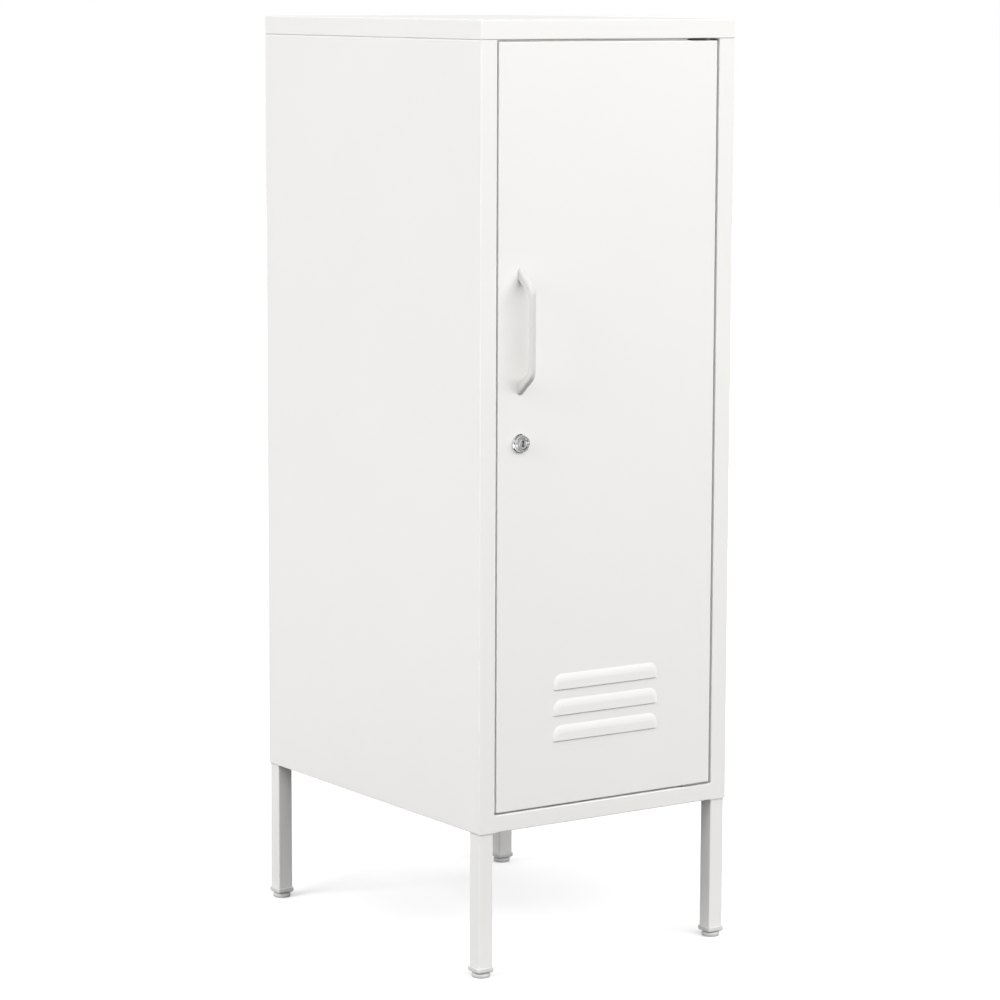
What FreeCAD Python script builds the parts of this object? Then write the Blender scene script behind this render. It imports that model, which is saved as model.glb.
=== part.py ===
# Mini locker: a folded steel cabinet on four tube legs, with one louvred door and a cam lock.
# Millimetres; the front faces -Y, +Z is up, and the origin is the middle of the bounding box on the floor.
import FreeCAD, Part
import Sketcher
import math
import os
import re

# Driving sizes: name, value in mm (or a count), meaning
SIZES = [
    ("width", 350, "outside width"),
    ("depth", 460, "depth of the cabinet without the handle"),
    ("height", 1075, "overall height"),
    ("leg_height", 167, "floor to the underside of the cabinet"),
    ("sheet", 0.8, "sheet thickness"),
    ("bend", 0.6, "inside radius of the folds"),
    ("fit", 0.3, "gap between parts that slip together"),
    ("play", 0.05, "radial running clearance"),
    ("cap_lip", 22, "height of the lip round the top"),
    ("cap_return", 14, "width of the fold under the lip"),
    ("bead_inset", 3.4, "bead in the gap above the door, in from the front"),
    ("bead_width", 1.2, "width of that bead"),
    ("stile", 22, "width of the stiles beside the door"),
    ("rail", 20, "height of the rail below the door"),
    ("strike_lip", 10, "width of the stop behind the door's free edge and its top edge"),
    ("door_depth", 18, "thickness of the door"),
    ("door_return", 12, "fold at the back of the door's edges"),
    ("strike_gap", 2, "gap beside the door's free edge"),
    ("hinge_gap", 3, "gap beside the door's hinged edge"),
    ("door_gap", 2, "gap above and below the door"),
    ("buffer", 2, "thickness of the rubber buffers"),
    ("buffer_radius", 4, "radius of the rubber buffers"),
    ("buffer_inset", 90, "buffers from the ends of the door"),
    ("hinge_inset", 11, "hinge axis from the door's edge"),
    ("hinge_setback", 6.5, "hinge axis behind the door's face"),
    ("pin_radius", 2.4, "radius of the hinge pins"),
    ("pin_head", 2.4, "overhang and height of the pin heads"),
    ("pin_shoulder", 1.2, "overhang of the upper pin's collar"),
    ("pin_engage", 10, "length of pin inside the door"),
    ("bush_length", 27, "hinge plate from the axis to its free end"),
    ("bush_depth", 12, "length of the hinge bush inside the door"),
    ("bush_plate", 1.1, "thickness of the hinge plates on the door's ends"),
    ("thrust_play", 0.1, "gap between the lower hinge plate and its collar"),
    ("leg_tube", 19, "side of the square leg tube"),
    ("leg_wall", 1.2, "wall of the leg tube"),
    ("leg_inset", 1.6, "leg behind the cabinet's faces"),
    ("leg_plate", 3, "plate closing the top of the leg"),
    ("plug_lip", 1.5, "overhang of the leg plug round the tube"),
    ("plug_height", 6, "height of the plug below the tube"),
    ("plug_depth", 22, "length of the plug inside the tube"),
    ("foot_radius", 11, "radius of the levelling foot"),
    ("foot_height", 6, "height of the levelling foot's disc"),
    ("foot_bevel", 1.5, "bevels of the levelling foot's disc"),
    ("stud_radius", 4, "radius of the foot's stud and the leg bolts"),
    ("stud_length", 30, "length of the foot's stud"),
    ("bolt_head", 5, "height and overhang of the bolt heads"),
    ("screw_radius", 2, "radius of the small screws"),
    ("screw_head", 2, "height and overhang of the small screw heads"),
    ("screw_inset", 80, "cap screws from the front and back"),
    ("back_screw_inset", 38, "end screws of the back from the ends of the sides"),
    ("back_screw_count", 4, "screws up each edge of the back"),
    ("back_flange", 15, "fold along the top of the back"),
    ("wall_spacing", 200, "spacing of the wall fixing holes"),
    ("wall_hole", 3.5, "radius of the wall fixing holes"),
    ("wall_drop", 60, "wall fixing holes below the top of the back"),
    ("upright_depth", 8, "depth of the slotted uprights"),
    ("upright_width", 24, "width of the slotted uprights"),
    ("upright_inset", 75, "uprights from the front and back"),
    ("upright_end", 20, "uprights short of the floor and the top"),
    ("slot_first", 40, "first slot above the foot of the upright"),
    ("slot_pitch", 50, "spacing of the slots"),
    ("slot_count", 16, "slots in one upright"),
    ("slot_width", 13, "width of a slot"),
    ("slot_height", 3, "height of a slot"),
    ("shelf_slot", 8, "slots below the one that carries the shelf"),
    ("shelf_height", 20, "height of the shelf's edges"),
    ("shelf_return", 12, "fold under the shelf's edges"),
    ("shelf_front", 45, "shelf behind the cabinet's face"),
    ("shelf_play", 0.9, "gap beside the shelf"),
    ("clip_ledge", 11, "reach of a shelf clip under the shelf"),
    ("clip_sheet", 2, "thickness of a shelf clip"),
    ("clip_drop", 12, "height of a shelf clip"),
    ("pull_inset", 30, "handle and lock from the door's free edge"),
    ("handle_level", 732, "middle of the handle above the floor"),
    ("handle_length", 142, "length of the handle along the door"),
    ("handle_grip", 100, "length of the handle's outer run"),
    ("handle_reach", 26, "reach of the handle from the door"),
    ("handle_foot", 14, "length of the handle's feet"),
    ("handle_width", 8, "width of the handle"),
    ("handle_bar", 6.8, "thickness of the handle's bar"),
    ("handle_round", 2.8, "rounding of the handle's edges"),
    ("handle_bend", 18, "radius of the handle's outer bends"),
    ("handle_crook", 12, "radius of the handle's inner bends"),
    ("handle_centres", 128, "spacing of the handle screws"),
    ("handle_thread", 4, "length of the handle screws inside the handle"),
    ("lock_level", 607, "lock axis above the floor"),
    ("lock_reach", 7, "reach of the lock from the door"),
    ("lock_flange", 10.8, "radius of the lock's flange"),
    ("lock_rim", 1.4, "thickness of the lock's flange"),
    ("lock_ring", 9.2, "radius of the lock's front ring"),
    ("lock_taper", 1, "height of the slope from the flange to the ring"),
    ("lock_bevel", 1, "bevel of the lock's front ring"),
    ("plug_recess", 0.7, "lock plug behind the front ring"),
    ("lock_barrel", 8, "radius of the lock's barrel"),
    ("lock_plug", 6, "radius of the lock's plug"),
    ("lock_nut", 12, "half the width across the lock nut's flats"),
    ("nut_height", 4, "thickness of the lock nut"),
    ("key_width", 1.4, "width of the key slot"),
    ("key_height", 7, "height of the key slot"),
    ("key_depth", 5, "depth of the key slot"),
    ("cam_width", 15, "width of the lock cam"),
    ("cam_reach", 38, "reach of the lock cam from its axis"),
    ("cam_sheet", 2, "thickness of the lock cam"),
    ("cam_square", 7, "side of the square that drives the cam"),
    ("cam_cover", 2.8, "overlap of the cam screw's head round the square"),
    ("louvre_width", 147, "width of a louvre"),
    ("louvre_height", 18, "height of a louvre"),
    ("louvre_reach", 1.9, "reach of a louvre from the door"),
    ("louvre_round", 12, "corner radius of a louvre"),
    ("shoulder_reach", 1.15, "reach of a louvre's shoulder from the door"),
    ("shoulder_inset", 1.8, "shoulder in from the louvre's ends"),
    ("shoulder_drop", 3.2, "shoulder down from the louvre's top"),
    ("shoulder_round", 9.5, "corner radius of the shoulder"),
    ("brow_inset", 5, "louvre's outer edge in from its ends"),
    ("brow_drop", 9, "louvre's outer edge down from its top"),
    ("brow_round", 6, "corner radius of the louvre's outer edge"),
    ("louvre_pitch", 29.6, "spacing of the louvres"),
    ("louvre_count", 3, "number of louvres"),
    ("louvre_level", 263, "lowest louvre's mouth above the floor"),
    ("rib_width", 40, "width of the door stiffener's crown"),
    ("rib_flange", 12, "width of the door stiffener's flanges"),
    ("rib_depth", 13, "depth of the door stiffener"),
    ("rib_end", 30, "door stiffener short of the louvres and the door's top"),
]

# Places worked out from the driving sizes
PLACES = {
    "front": "(handle_reach - depth) / 2",
    "back": "front + depth",
    "side": "width / 2",
    "bend_outer": "sheet + bend",
    "body_top": "height - cap_lip",
    "floor_top": "leg_height + rail",
    "inner_side": "side - sheet",
    "jamb_x": "side - stile",
    "jamb_depth": "door_depth + fit + buffer + sheet",
    "jamb_back": "front + jamb_depth",
    "strike_face": "jamb_back - sheet",
    "back_outer": "back - sheet",
    "back_inner": "back - 2 * sheet",
    "door_left": "strike_gap - jamb_x",
    "door_right": "jamb_x - hinge_gap",
    "door_middle": "(door_left + door_right) / 2",
    "door_bottom": "floor_top + door_gap",
    "door_top": "body_top - door_gap",
    "door_back": "front + door_depth",
    "hinge_x": "door_right - hinge_inset",
    "hinge_y": "front + hinge_setback",
    "pull_x": "door_left + pull_inset",
    "bush_radius": "hinge_setback - sheet - 3 * fit",
    "pin_collar": "door_gap - bush_plate - thrust_play",
    "leg_x": "side - leg_inset - leg_tube / 2",
    "leg_front": "front + leg_inset + leg_tube / 2",
    "leg_back": "back - leg_inset - leg_tube / 2",
    "tube_bottom": "foot_height + plug_height",
    "cap_screw_x": "side - cap_return / 2",
    "back_screw_x": "side - stile / 2",
    "back_screw_z": "leg_height + back_screw_inset",
    "back_screw_pitch": "(body_top - leg_height - 2 * back_screw_inset) / (back_screw_count - 1)",
    "wall_z": "body_top - wall_drop",
    "upright_x": "inner_side - upright_depth",
    "upright_foot": "floor_top + upright_end",
    "clip_z": "upright_foot + slot_first + slot_pitch * shelf_slot + fit",
    "shelf_z": "clip_z + clip_sheet",
    "shelf_x": "upright_x - shelf_play",
    "shelf_y": "front + shelf_front",
    "shelf_back": "back_inner - shelf_play",
    "handle_out": "front - handle_reach",
    "handle_in": "handle_out + handle_bar",
    "handle_slope": "(handle_length - handle_grip) / 2 / handle_reach",
    "handle_inner": "handle_length / 2 - handle_foot - (handle_reach - handle_bar) * handle_slope",
    "cam_front": "jamb_depth + 2 * fit",
    "cam_back": "cam_front + cam_sheet",
    "louvre_top": "louvre_level + louvre_pitch * (louvre_count - 1) + louvre_height",
    "rib_y": "front + sheet",
}

doc = FreeCAD.newDocument("Locker")
sheet = doc.addObject("Spreadsheet::Sheet", "Sizes")
for row, (alias, size, meaning) in enumerate(SIZES, start=1):
    sheet.set(f"A{row}", meaning)
    sheet.set(f"B{row}", str(size))
    sheet.setAlias(f"B{row}", alias)
doc.recompute()

ALIASES = {alias for alias, size, meaning in SIZES}
NORMALS = {"XY_Plane": 1, "XZ_Plane": -1, "YZ_Plane": 1}
pieces = []


def bind(formula):
    """Formula on size and place names, as an expression on the sheet."""

    def swap(match):
        word = match.group(0)
        if word in ALIASES:
            return f"Sizes.{word}"
        if word in PLACES:
            return f"({bind(PLACES[word])})"
        return word

    return re.sub(r"[A-Za-z_]\w*", swap, formula)


def number(formula):
    """Present value of a formula."""
    return float(sheet.evalExpression(bind(formula)))


def rect(left, right, low, high):
    """Corners of a rectangle, anticlockwise."""
    return [(left, low), (right, low), (right, high), (left, high)]


def new_body(label, at=("0", "0", "0")):
    """Empty body with its label and its place."""
    body = doc.addObject("PartDesign::Body", label)
    body.Label = label
    for axis, formula in zip("xyz", at):
        body.setExpression(f".Placement.Base.{axis}", bind(formula))
    return body


def new_sketch(body, plane, at):
    """Empty sketch parallel to one of the body's planes, at a distance along that plane's axis."""
    sketch = body.newObject("Sketcher::SketchObject", f"{body.Name}_sketch")
    support = [item for item in body.Origin.OriginFeatures if item.Role == plane]
    sketch.AttachmentSupport = [(support[0], "")]
    sketch.MapMode = "FlatFace"
    sketch.setExpression(".AttachmentOffset.Base.z", f"{NORMALS[plane]} * ({bind(at)})")
    return sketch


def arc_between(start, end, radius):
    """Anticlockwise arc of under half a turn from start to end."""
    chord = end - start
    half = chord.Length / 2
    rise = math.sqrt(max(radius * radius - half * half, 0))
    left = FreeCAD.Vector(-chord.y, chord.x, 0).normalize()
    centre = (start + end) * 0.5 + left * rise
    first = math.atan2(start.y - centre.y, start.x - centre.x)
    last = math.atan2(end.y - centre.y, end.x - centre.x)
    return Part.ArcOfCircle(Part.Circle(centre, FreeCAD.Vector(0, 0, 1), radius), first, last)


def outline(body, plane, at, points):
    """Closed sketch through the points; a point's third entry is the radius of the arc to the next."""
    sketch = new_sketch(body, plane, at)
    spots = [FreeCAD.Vector(number(point[0]), number(point[1]), 0) for point in points]
    formulas = []
    constraints = []
    for index, point in enumerate(points):
        following = (index + 1) % len(points)
        start, end = spots[index], spots[following]
        if len(point) == 3:
            sketch.addGeometry(arc_between(start, end, number(point[2])), False)
        else:
            sketch.addGeometry(Part.LineSegment(start, end), False)
        constraints.append(Sketcher.Constraint("Coincident", index, 2, following, 1))
    for index, point in enumerate(points):
        for kind, formula, value in zip(("DistanceX", "DistanceY"), point, spots[index]):
            formulas.append((len(constraints), formula))
            constraints.append(Sketcher.Constraint(kind, -1, 1, index, 1, value))
        if len(point) == 3:
            formulas.append((len(constraints), point[2]))
            constraints.append(Sketcher.Constraint("Radius", index, number(point[2])))
    sketch.addConstraint(constraints)
    for index, formula in formulas:
        sketch.setExpression(f"Constraints[{index}]", bind(formula))
    return sketch


def circle(body, plane, at, centre, radius):
    """Sketch of one circle."""
    sketch = new_sketch(body, plane, at)
    middle = FreeCAD.Vector(number(centre[0]), number(centre[1]), 0)
    sketch.addGeometry(Part.Circle(middle, FreeCAD.Vector(0, 0, 1), number(radius)), False)
    sketch.addConstraint(Sketcher.Constraint("DistanceX", -1, 1, 0, 3, middle.x))
    sketch.addConstraint(Sketcher.Constraint("DistanceY", -1, 1, 0, 3, middle.y))
    sketch.addConstraint(Sketcher.Constraint("Radius", 0, number(radius)))
    for index, formula in enumerate((centre[0], centre[1], radius)):
        sketch.setExpression(f"Constraints[{index}]", bind(formula))
    return sketch


def plane_of(sketch):
    """Role of the plane a sketch lies on."""
    return sketch.AttachmentSupport[0][0].Role


def pad(body, sketch, length, sense):
    """Adds an extrusion running the way of sense along the plane's axis."""
    feature = body.newObject("PartDesign::Pad", f"{body.Name}_pad")
    feature.Profile = sketch
    feature.setExpression("Length", bind(length))
    feature.Reversed = sense != NORMALS[plane_of(sketch)]
    doc.recompute()
    return feature


def pocket(body, sketch, length, sense):
    """Cuts an extrusion running the way of sense along the plane's axis."""
    before = body.Tip.Shape.Volume
    feature = body.newObject("PartDesign::Pocket", f"{body.Name}_pocket")
    feature.Profile = sketch
    feature.setExpression("Length", bind(length))
    feature.Reversed = sense == NORMALS[plane_of(sketch)]
    doc.recompute()
    if feature.Shape.Volume >= before:
        raise RuntimeError(f"{feature.Name} cuts nothing")
    return feature


def bore(body, plane, at, centre, radius, length, sense):
    """Cuts a round hole."""
    return pocket(body, circle(body, plane, at, centre, radius), length, sense)


def repeat(body, features, axis, pitch, count):
    """Repeats features in a row along one of the body's axes."""
    pattern = body.newObject("PartDesign::LinearPattern", f"{body.Name}_row")
    pattern.Originals = features
    direction = [item for item in body.Origin.OriginFeatures if item.Role == axis]
    pattern.Direction = (direction[0], [""])
    pattern.setExpression("Length", bind(f"{pitch} * ({count} - 1)"))
    pattern.setExpression("Occurrences", bind(count))
    body.Tip = pattern
    doc.recompute()
    return pattern


def soften(body, radius, wanted):
    """Rounds the edges that the test picks out."""
    base = body.Tip
    names = [f"Edge{index}" for index, edge in enumerate(base.Shape.Edges, start=1) if wanted(edge)]
    if not names:
        raise RuntimeError(f"no edge to round on {body.Label}")
    feature = body.newObject("PartDesign::Fillet", f"{body.Name}_round")
    feature.Base = (base, names)
    feature.setExpression("Radius", bind(radius))
    doc.recompute()
    return feature


def bevel(body, size, wanted):
    """Bevels the edges that the test picks out."""
    base = body.Tip
    names = [f"Edge{index}" for index, edge in enumerate(base.Shape.Edges, start=1) if wanted(edge)]
    feature = body.newObject("PartDesign::Chamfer", f"{body.Name}_bevel")
    feature.Base = (base, names)
    feature.setExpression("Size", bind(size))
    doc.recompute()
    return feature


def lies_on(edge, axis, value):
    """Whether an edge lies in the plane where a coordinate has this value."""
    return all(abs(vertex.Point[axis] - value) < 1e-4 for vertex in edge.Vertexes)


def on_lines(*lines):
    """Test for edges that lie on any of these lines, each given by two (axis, formula) planes."""
    known = [[("xyz".index(axis), number(formula)) for axis, formula in line] for line in lines]
    return lambda edge: any(all(lies_on(edge, axis, value) for axis, value in line) for line in known)


def box_edges(*planes):
    """Test for edges where two of these (axis, formula) planes meet."""
    known = [("xyz".index(axis), number(formula)) for axis, formula in planes]
    return lambda edge: sum(lies_on(edge, axis, value) for axis, value in known) >= 2


def turned(label, axis, at, profile):
    """Body of revolution about Z (profile: radius, height) or about Y (profile: depth, radius)."""
    body = new_body(label, at)
    plane, line = {"Z": ("XZ_Plane", "V_Axis"), "Y": ("YZ_Plane", "H_Axis")}[axis]
    sketch = outline(body, plane, "0", profile)
    feature = body.newObject("PartDesign::Revolution", f"{label}_turn")
    feature.Profile = sketch
    feature.ReferenceAxis = (sketch, [line])
    doc.recompute()
    return body


def group(label, members):
    """One piece made of separate solids."""
    compound = doc.addObject("Part::Compound", label)
    compound.Label = label
    compound.Links = members
    doc.recompute()
    pieces.append(compound)


def screw(label, axis, at, head, length, sense=1):
    """Screw with its seat at the given place; the shank runs the way of sense, the head the other way."""
    seat, tip, top = "0", f"{sense} * ({length})", f"{-sense} * {head}"
    rim = f"screw_radius + {head}" if head == "screw_head" else f"stud_radius + {head} / 2"
    shank = "screw_radius" if head == "screw_head" else "stud_radius"
    points = [("0", tip), (shank, tip), (shank, seat), (rim, seat), (rim, top), ("0", top)]
    if axis == "Y":
        points = [(along, radius) for radius, along in points]
    return turned(label, axis, at, points)


def folded_tray(body, plane, spans, floor, height, sense, lip):
    """Tray with a fold round its mouth; floor is the sheet's outer plane, sense the way its edges run."""
    (left, right), (low, high) = spans

    def inset(by):
        return rect(f"{left} + {by}", f"{right} - ({by})", f"{low} + {by}", f"{high} - ({by})")

    step = f"{sense} * sheet"
    pad(body, outline(body, plane, floor, inset("0")), height, sense)
    pocket(body, outline(body, plane, f"{floor} + {step}", inset("sheet")), f"{height} - 2 * sheet", sense)
    mouth = f"{floor} + {sense} * ({height}) - {step}"
    pocket(body, outline(body, plane, mouth, inset(lip)), "sheet", sense)


# Top panel: a tray with its edges turned down, holding the upper hinge pin; under its front fold are a stop
# behind the door's top edge and a bead that closes the gap above the door
top_panel = new_body("top_panel")
folded_tray(top_panel, "XY_Plane", (("-side", "side"), ("front", "back")), "height", "cap_lip", -1, "cap_return")
soften(top_panel, "bend_outer", box_edges(
    ("x", "-side"), ("x", "side"), ("y", "front"), ("y", "back"), ("z", "height"), ("z", "body_top")))
bore(top_panel, "XY_Plane", "body_top", ("hinge_x", "hinge_y"), "pin_radius + play", "sheet", 1)
cap_screw_spots = [
    (f"{sign} * cap_screw_x", place)
    for sign in (-1, 1)
    for place in ("front + screw_inset", "back - screw_inset")
]
for spot in cap_screw_spots:
    bore(top_panel, "XY_Plane", "body_top", spot, "screw_radius + play", "sheet", 1)
header = [
    ("front + cap_return - sheet", "body_top"), ("strike_face", "body_top"),
    ("strike_face", "body_top - strike_lip"), ("jamb_back", "body_top - strike_lip"),
    ("jamb_back", "body_top + sheet"), ("front + cap_return - sheet", "body_top + sheet"),
]
header_left, header_right = "strike_lip + fit - jamb_x", "hinge_x - bush_length / 2"
pad(top_panel, outline(top_panel, "YZ_Plane", header_left, header), f"{header_right} - ({header_left})", 1)
bead = rect("fit - jamb_x", "hinge_x - 1.1 * bush_length", "front + bead_inset", "front + bead_inset + bead_width")
pad(top_panel, outline(top_panel, "XY_Plane", "body_top", bead), "door_gap - fit", -1)
pieces.append(top_panel)


def side_panel(label, sign):
    """Side folded on four edges; its front fold is a stile that returns beside the door."""
    body = new_body(label)
    face, wall, jamb = f"{sign} * side", f"{sign} * inner_side", f"{sign} * (jamb_x + sheet)"
    inward = -sign
    pad(body, outline(body, "YZ_Plane", face, rect("front", "back", "leg_height", "body_top")), "stile", inward)
    hollow = rect("front + sheet", "back - sheet", "leg_height + sheet", "body_top - sheet")
    pocket(body, outline(body, "YZ_Plane", wall, hollow), "stile - 2 * sheet", inward)
    mouth = rect("jamb_back", "back - sheet", "leg_height + sheet", "body_top - sheet")
    pocket(body, outline(body, "YZ_Plane", jamb, mouth), "sheet", inward)
    soften(body, "bend_outer", on_lines(
        (("x", face), ("y", "front")),
        (("x", face), ("y", "back")),
        (("x", face), ("z", "leg_height")),
        (("x", face), ("z", "body_top")),
        (("x", f"{sign} * jamb_x"), ("y", "front"))))
    for spot in cap_screw_spots:
        if spot[0].startswith(f"{sign} "):
            bore(body, "XY_Plane", "body_top", spot, "screw_radius + play", "sheet", -1)
    for place in ("leg_front", "leg_back"):
        bore(body, "XY_Plane", "leg_height", (f"{sign} * leg_x", place), "stud_radius + play", "sheet", 1)
    hole = bore(body, "XZ_Plane", "back", (f"{sign} * back_screw_x", "back_screw_z"),
                "screw_radius + play", "sheet", -1)
    repeat(body, [hole], "Z_Axis", "back_screw_pitch", "back_screw_count")
    bore(body, "YZ_Plane", jamb, ("front + jamb_depth / 2", "leg_height + rail / 2"),
         "screw_radius + play", "sheet", inward)
    pieces.append(body)
    return body


left_side = side_panel("side_panel_left", -1)
strike = rect("-jamb_x - sheet", "-jamb_x + strike_lip", "strike_face", "jamb_back")
pad(left_side, outline(left_side, "XY_Plane", "door_bottom", strike), "door_top - door_bottom", 1)
side_panel("side_panel_right", 1)

# Back panel: a sheet between the side folds, with its top edge turned forward
back_panel = new_body("back_panel")
back_profile = [
    ("back_inner", "leg_height + sheet"),
    ("back_outer", "leg_height + sheet"),
    ("back_outer", "body_top - sheet"),
    ("back_inner - back_flange", "body_top - sheet"),
    ("back_inner - back_flange", "body_top - 2 * sheet"),
    ("back_inner", "body_top - 2 * sheet"),
]
pad(back_panel, outline(back_panel, "YZ_Plane", "fit - inner_side", back_profile), "2 * (inner_side - fit)", 1)
for sign in (-1, 1):
    hole = bore(back_panel, "XZ_Plane", "back_outer", (f"{sign} * back_screw_x", "back_screw_z"),
                "screw_radius + play", "sheet", -1)
    repeat(back_panel, [hole], "Z_Axis", "back_screw_pitch", "back_screw_count")
    bore(back_panel, "XZ_Plane", "back_outer", (f"{sign} * wall_spacing / 2", "wall_z"), "wall_hole", "sheet", -1)
pieces.append(back_panel)

# Floor panel: its front edge is the rail under the door, and it holds the lower hinge pin
floor_panel = new_body("floor_panel")
floor_wide, floor_neck = "(inner_side - fit)", "(jamb_x - fit)"
floor_step, floor_back = "(jamb_back + fit)", "(back_inner - fit)"
wide = rect(f"-{floor_wide}", floor_wide, floor_step, floor_back)
pad(floor_panel, outline(floor_panel, "XY_Plane", "leg_height + sheet", wide), "rail - sheet", 1)
neck = rect(f"-{floor_neck}", floor_neck, "front", floor_step)
pad(floor_panel, outline(floor_panel, "XY_Plane", "leg_height", neck), "rail", 1)
hollow = [
    (f"sheet - {floor_neck}", "front + sheet"),
    (f"{floor_neck} - sheet", "front + sheet"),
    (f"{floor_neck} - sheet", f"{floor_step} + sheet"),
    (f"{floor_wide} - sheet", f"{floor_step} + sheet"),
    (f"{floor_wide} - sheet", f"{floor_back} - sheet"),
    (f"sheet - {floor_wide}", f"{floor_back} - sheet"),
    (f"sheet - {floor_wide}", f"{floor_step} + sheet"),
    (f"sheet - {floor_neck}", f"{floor_step} + sheet"),
]
pocket(floor_panel, outline(floor_panel, "XY_Plane", "floor_top - sheet", hollow), "rail - 2 * sheet", -1)
soften(floor_panel, "bend_outer", on_lines(
    (("y", "front"), ("z", "floor_top")), (("y", "front"), ("z", "leg_height"))))
bore(floor_panel, "XY_Plane", "floor_top", ("hinge_x", "hinge_y"), "pin_radius + play", "sheet", -1)
for sign in (-1, 1):
    bore(floor_panel, "YZ_Plane", f"{sign} * {floor_neck}", ("front + jamb_depth / 2", "leg_height + rail / 2"),
         "screw_radius + play", "sheet", -sign)
pieces.append(floor_panel)


def upright(label, sign, middle):
    """Slotted channel on the inside of a side panel."""
    body = new_body(label)
    near, far = f"{sign} * inner_side", f"{sign} * upright_x"
    ends = [near, far] if sign < 0 else [far, near]
    section = rect(*ends, f"{middle} - upright_width / 2", f"{middle} + upright_width / 2")
    tall = "body_top - upright_end - upright_foot"
    pad(body, outline(body, "XY_Plane", "upright_foot", section), tall, 1)
    inner = f"{sign} * (upright_x + sheet)"
    ends = [near, inner] if sign < 0 else [inner, near]
    hollow = rect(*ends, f"{middle} - upright_width / 2 + sheet", f"{middle} + upright_width / 2 - sheet")
    pocket(body, outline(body, "XY_Plane", "upright_foot", hollow), tall, 1)
    slot = rect(f"{middle} - slot_width / 2", f"{middle} + slot_width / 2",
                "upright_foot + slot_first", "upright_foot + slot_first + slot_height")
    cut = pocket(body, outline(body, "YZ_Plane", far, slot), "sheet", sign)
    repeat(body, [cut], "Z_Axis", "slot_pitch", "slot_count")
    pieces.append(body)


def shelf_clip(label, sign, middle):
    """Clip hooked into a slot of an upright, with a ledge for the shelf."""
    body = new_body(label)
    hook, tongue = "upright_x + sheet + fit + clip_sheet", "upright_x + sheet + fit"
    edge, leg = "upright_x - fit", "upright_x - fit - clip_sheet"
    tip, low, top = "upright_x - clip_ledge", "clip_z", "shelf_z"
    points = [
        (tip, low), (leg, low), (leg, "clip_z - clip_drop"), (edge, "clip_z - clip_drop"), (edge, low),
        (hook, low), (hook, "shelf_z + clip_sheet"), (tongue, "shelf_z + clip_sheet"), (tongue, top), (tip, top),
    ]
    points = [(f"{sign} * ({across})", level) for across, level in points]
    if sign < 0:
        points.reverse()
    width = "slot_width - 2 * fit"
    pad(body, outline(body, "XZ_Plane", f"{middle} - ({width}) / 2", points), width, 1)
    return body


upright_spots = [
    (name, sign, middle)
    for sign, hand in ((-1, "left"), (1, "right"))
    for name, middle in ((f"front_{hand}", "front + upright_inset"), (f"rear_{hand}", "back - upright_inset"))
]
for name, sign, middle in upright_spots:
    upright(f"shelf_upright_{name}", sign, middle)
group("shelf_clips", [shelf_clip(f"shelf_clip_{name}", sign, middle) for name, sign, middle in upright_spots])

# Shelf: a tray with its edges turned down, lying on the clips
shelf = new_body("shelf")
folded_tray(shelf, "XY_Plane", (("-shelf_x", "shelf_x"), ("shelf_y", "shelf_back")),
            "shelf_z + shelf_height", "shelf_height", -1, "shelf_return")
soften(shelf, "bend_outer", box_edges(
    ("x", "-shelf_x"), ("x", "shelf_x"), ("y", "shelf_y"), ("y", "shelf_back"),
    ("z", "shelf_z"), ("z", "shelf_z + shelf_height")))
pieces.append(shelf)

# Legs, with their plugs, levelling feet and bolts
leg_spots = [
    (f"{end}_{hand}", f"{sign} * leg_x", f"leg_{place}")
    for end, place in (("front", "front"), ("rear", "back"))
    for hand, sign in (("left", -1), ("right", 1))
]


def square(half):
    """Square of this half side about the middle."""
    return rect(f"-({half})", half, f"-({half})", half)


def leg(name, x, y):
    """Square tube closed by a plate at its top."""
    body = new_body(f"leg_{name}", (x, y, "0"))
    tall = "leg_height - tube_bottom"
    pad(body, outline(body, "XY_Plane", "tube_bottom", square("leg_tube / 2")), tall, 1)
    half = "leg_tube / 2"
    soften(body, "leg_wall", on_lines(
        *[(("x", f"{a} * {half}"), ("y", f"{b} * {half}")) for a in (-1, 1) for b in (-1, 1)]))
    inside = square("leg_tube / 2 - leg_wall")
    pocket(body, outline(body, "XY_Plane", "tube_bottom", inside), f"{tall} - leg_plate", 1)
    bore(body, "XY_Plane", "leg_height", ("0", "0"), "stud_radius + play", "leg_plate", -1)
    pieces.append(body)


def leg_plug(name, x, y):
    """Plug that closes the lower end of a leg and guides the stud of its foot."""
    body = new_body(f"leg_plug_{name}", (x, y, "0"))
    half = "leg_tube / 2 + plug_lip"
    low = "foot_height + fit"
    pad(body, outline(body, "XY_Plane", low, square(half)), "plug_height - fit", 1)
    soften(body, "plug_lip", box_edges(("x", f"-({half})"), ("x", half), ("y", f"-({half})"), ("y", half)))
    bevel(body, "plug_lip", lambda edge: lies_on(edge, 2, number(low)))
    shank = square("leg_tube / 2 - leg_wall - play")
    pad(body, outline(body, "XY_Plane", "tube_bottom", shank), "plug_depth", 1)
    bore(body, "XY_Plane", low, ("0", "0"), "stud_radius + play", "plug_height + plug_depth - fit", 1)
    pieces.append(body)


def levelling_foot(name, x, y):
    """Bevelled disc on a stud that screws into the plug."""
    rim, top = "foot_radius - foot_bevel", "foot_height + stud_length"
    pieces.append(turned(f"levelling_foot_{name}", "Z", (x, y, "0"), [
        ("0", "0"), (rim, "0"), ("foot_radius", "foot_bevel"), ("foot_radius", "foot_height - foot_bevel"),
        (rim, "foot_height"), ("stud_radius", "foot_height"), ("stud_radius", top), ("0", top)]))


for name, x, y in leg_spots:
    leg(name, x, y)
    leg_plug(name, x, y)
    levelling_foot(name, x, y)
group("leg_bolts", [
    screw(f"leg_bolt_{name}", "Z", (x, y, "leg_height + sheet"), "bolt_head", "sheet + leg_plate", -1)
    for name, x, y in leg_spots])

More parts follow.
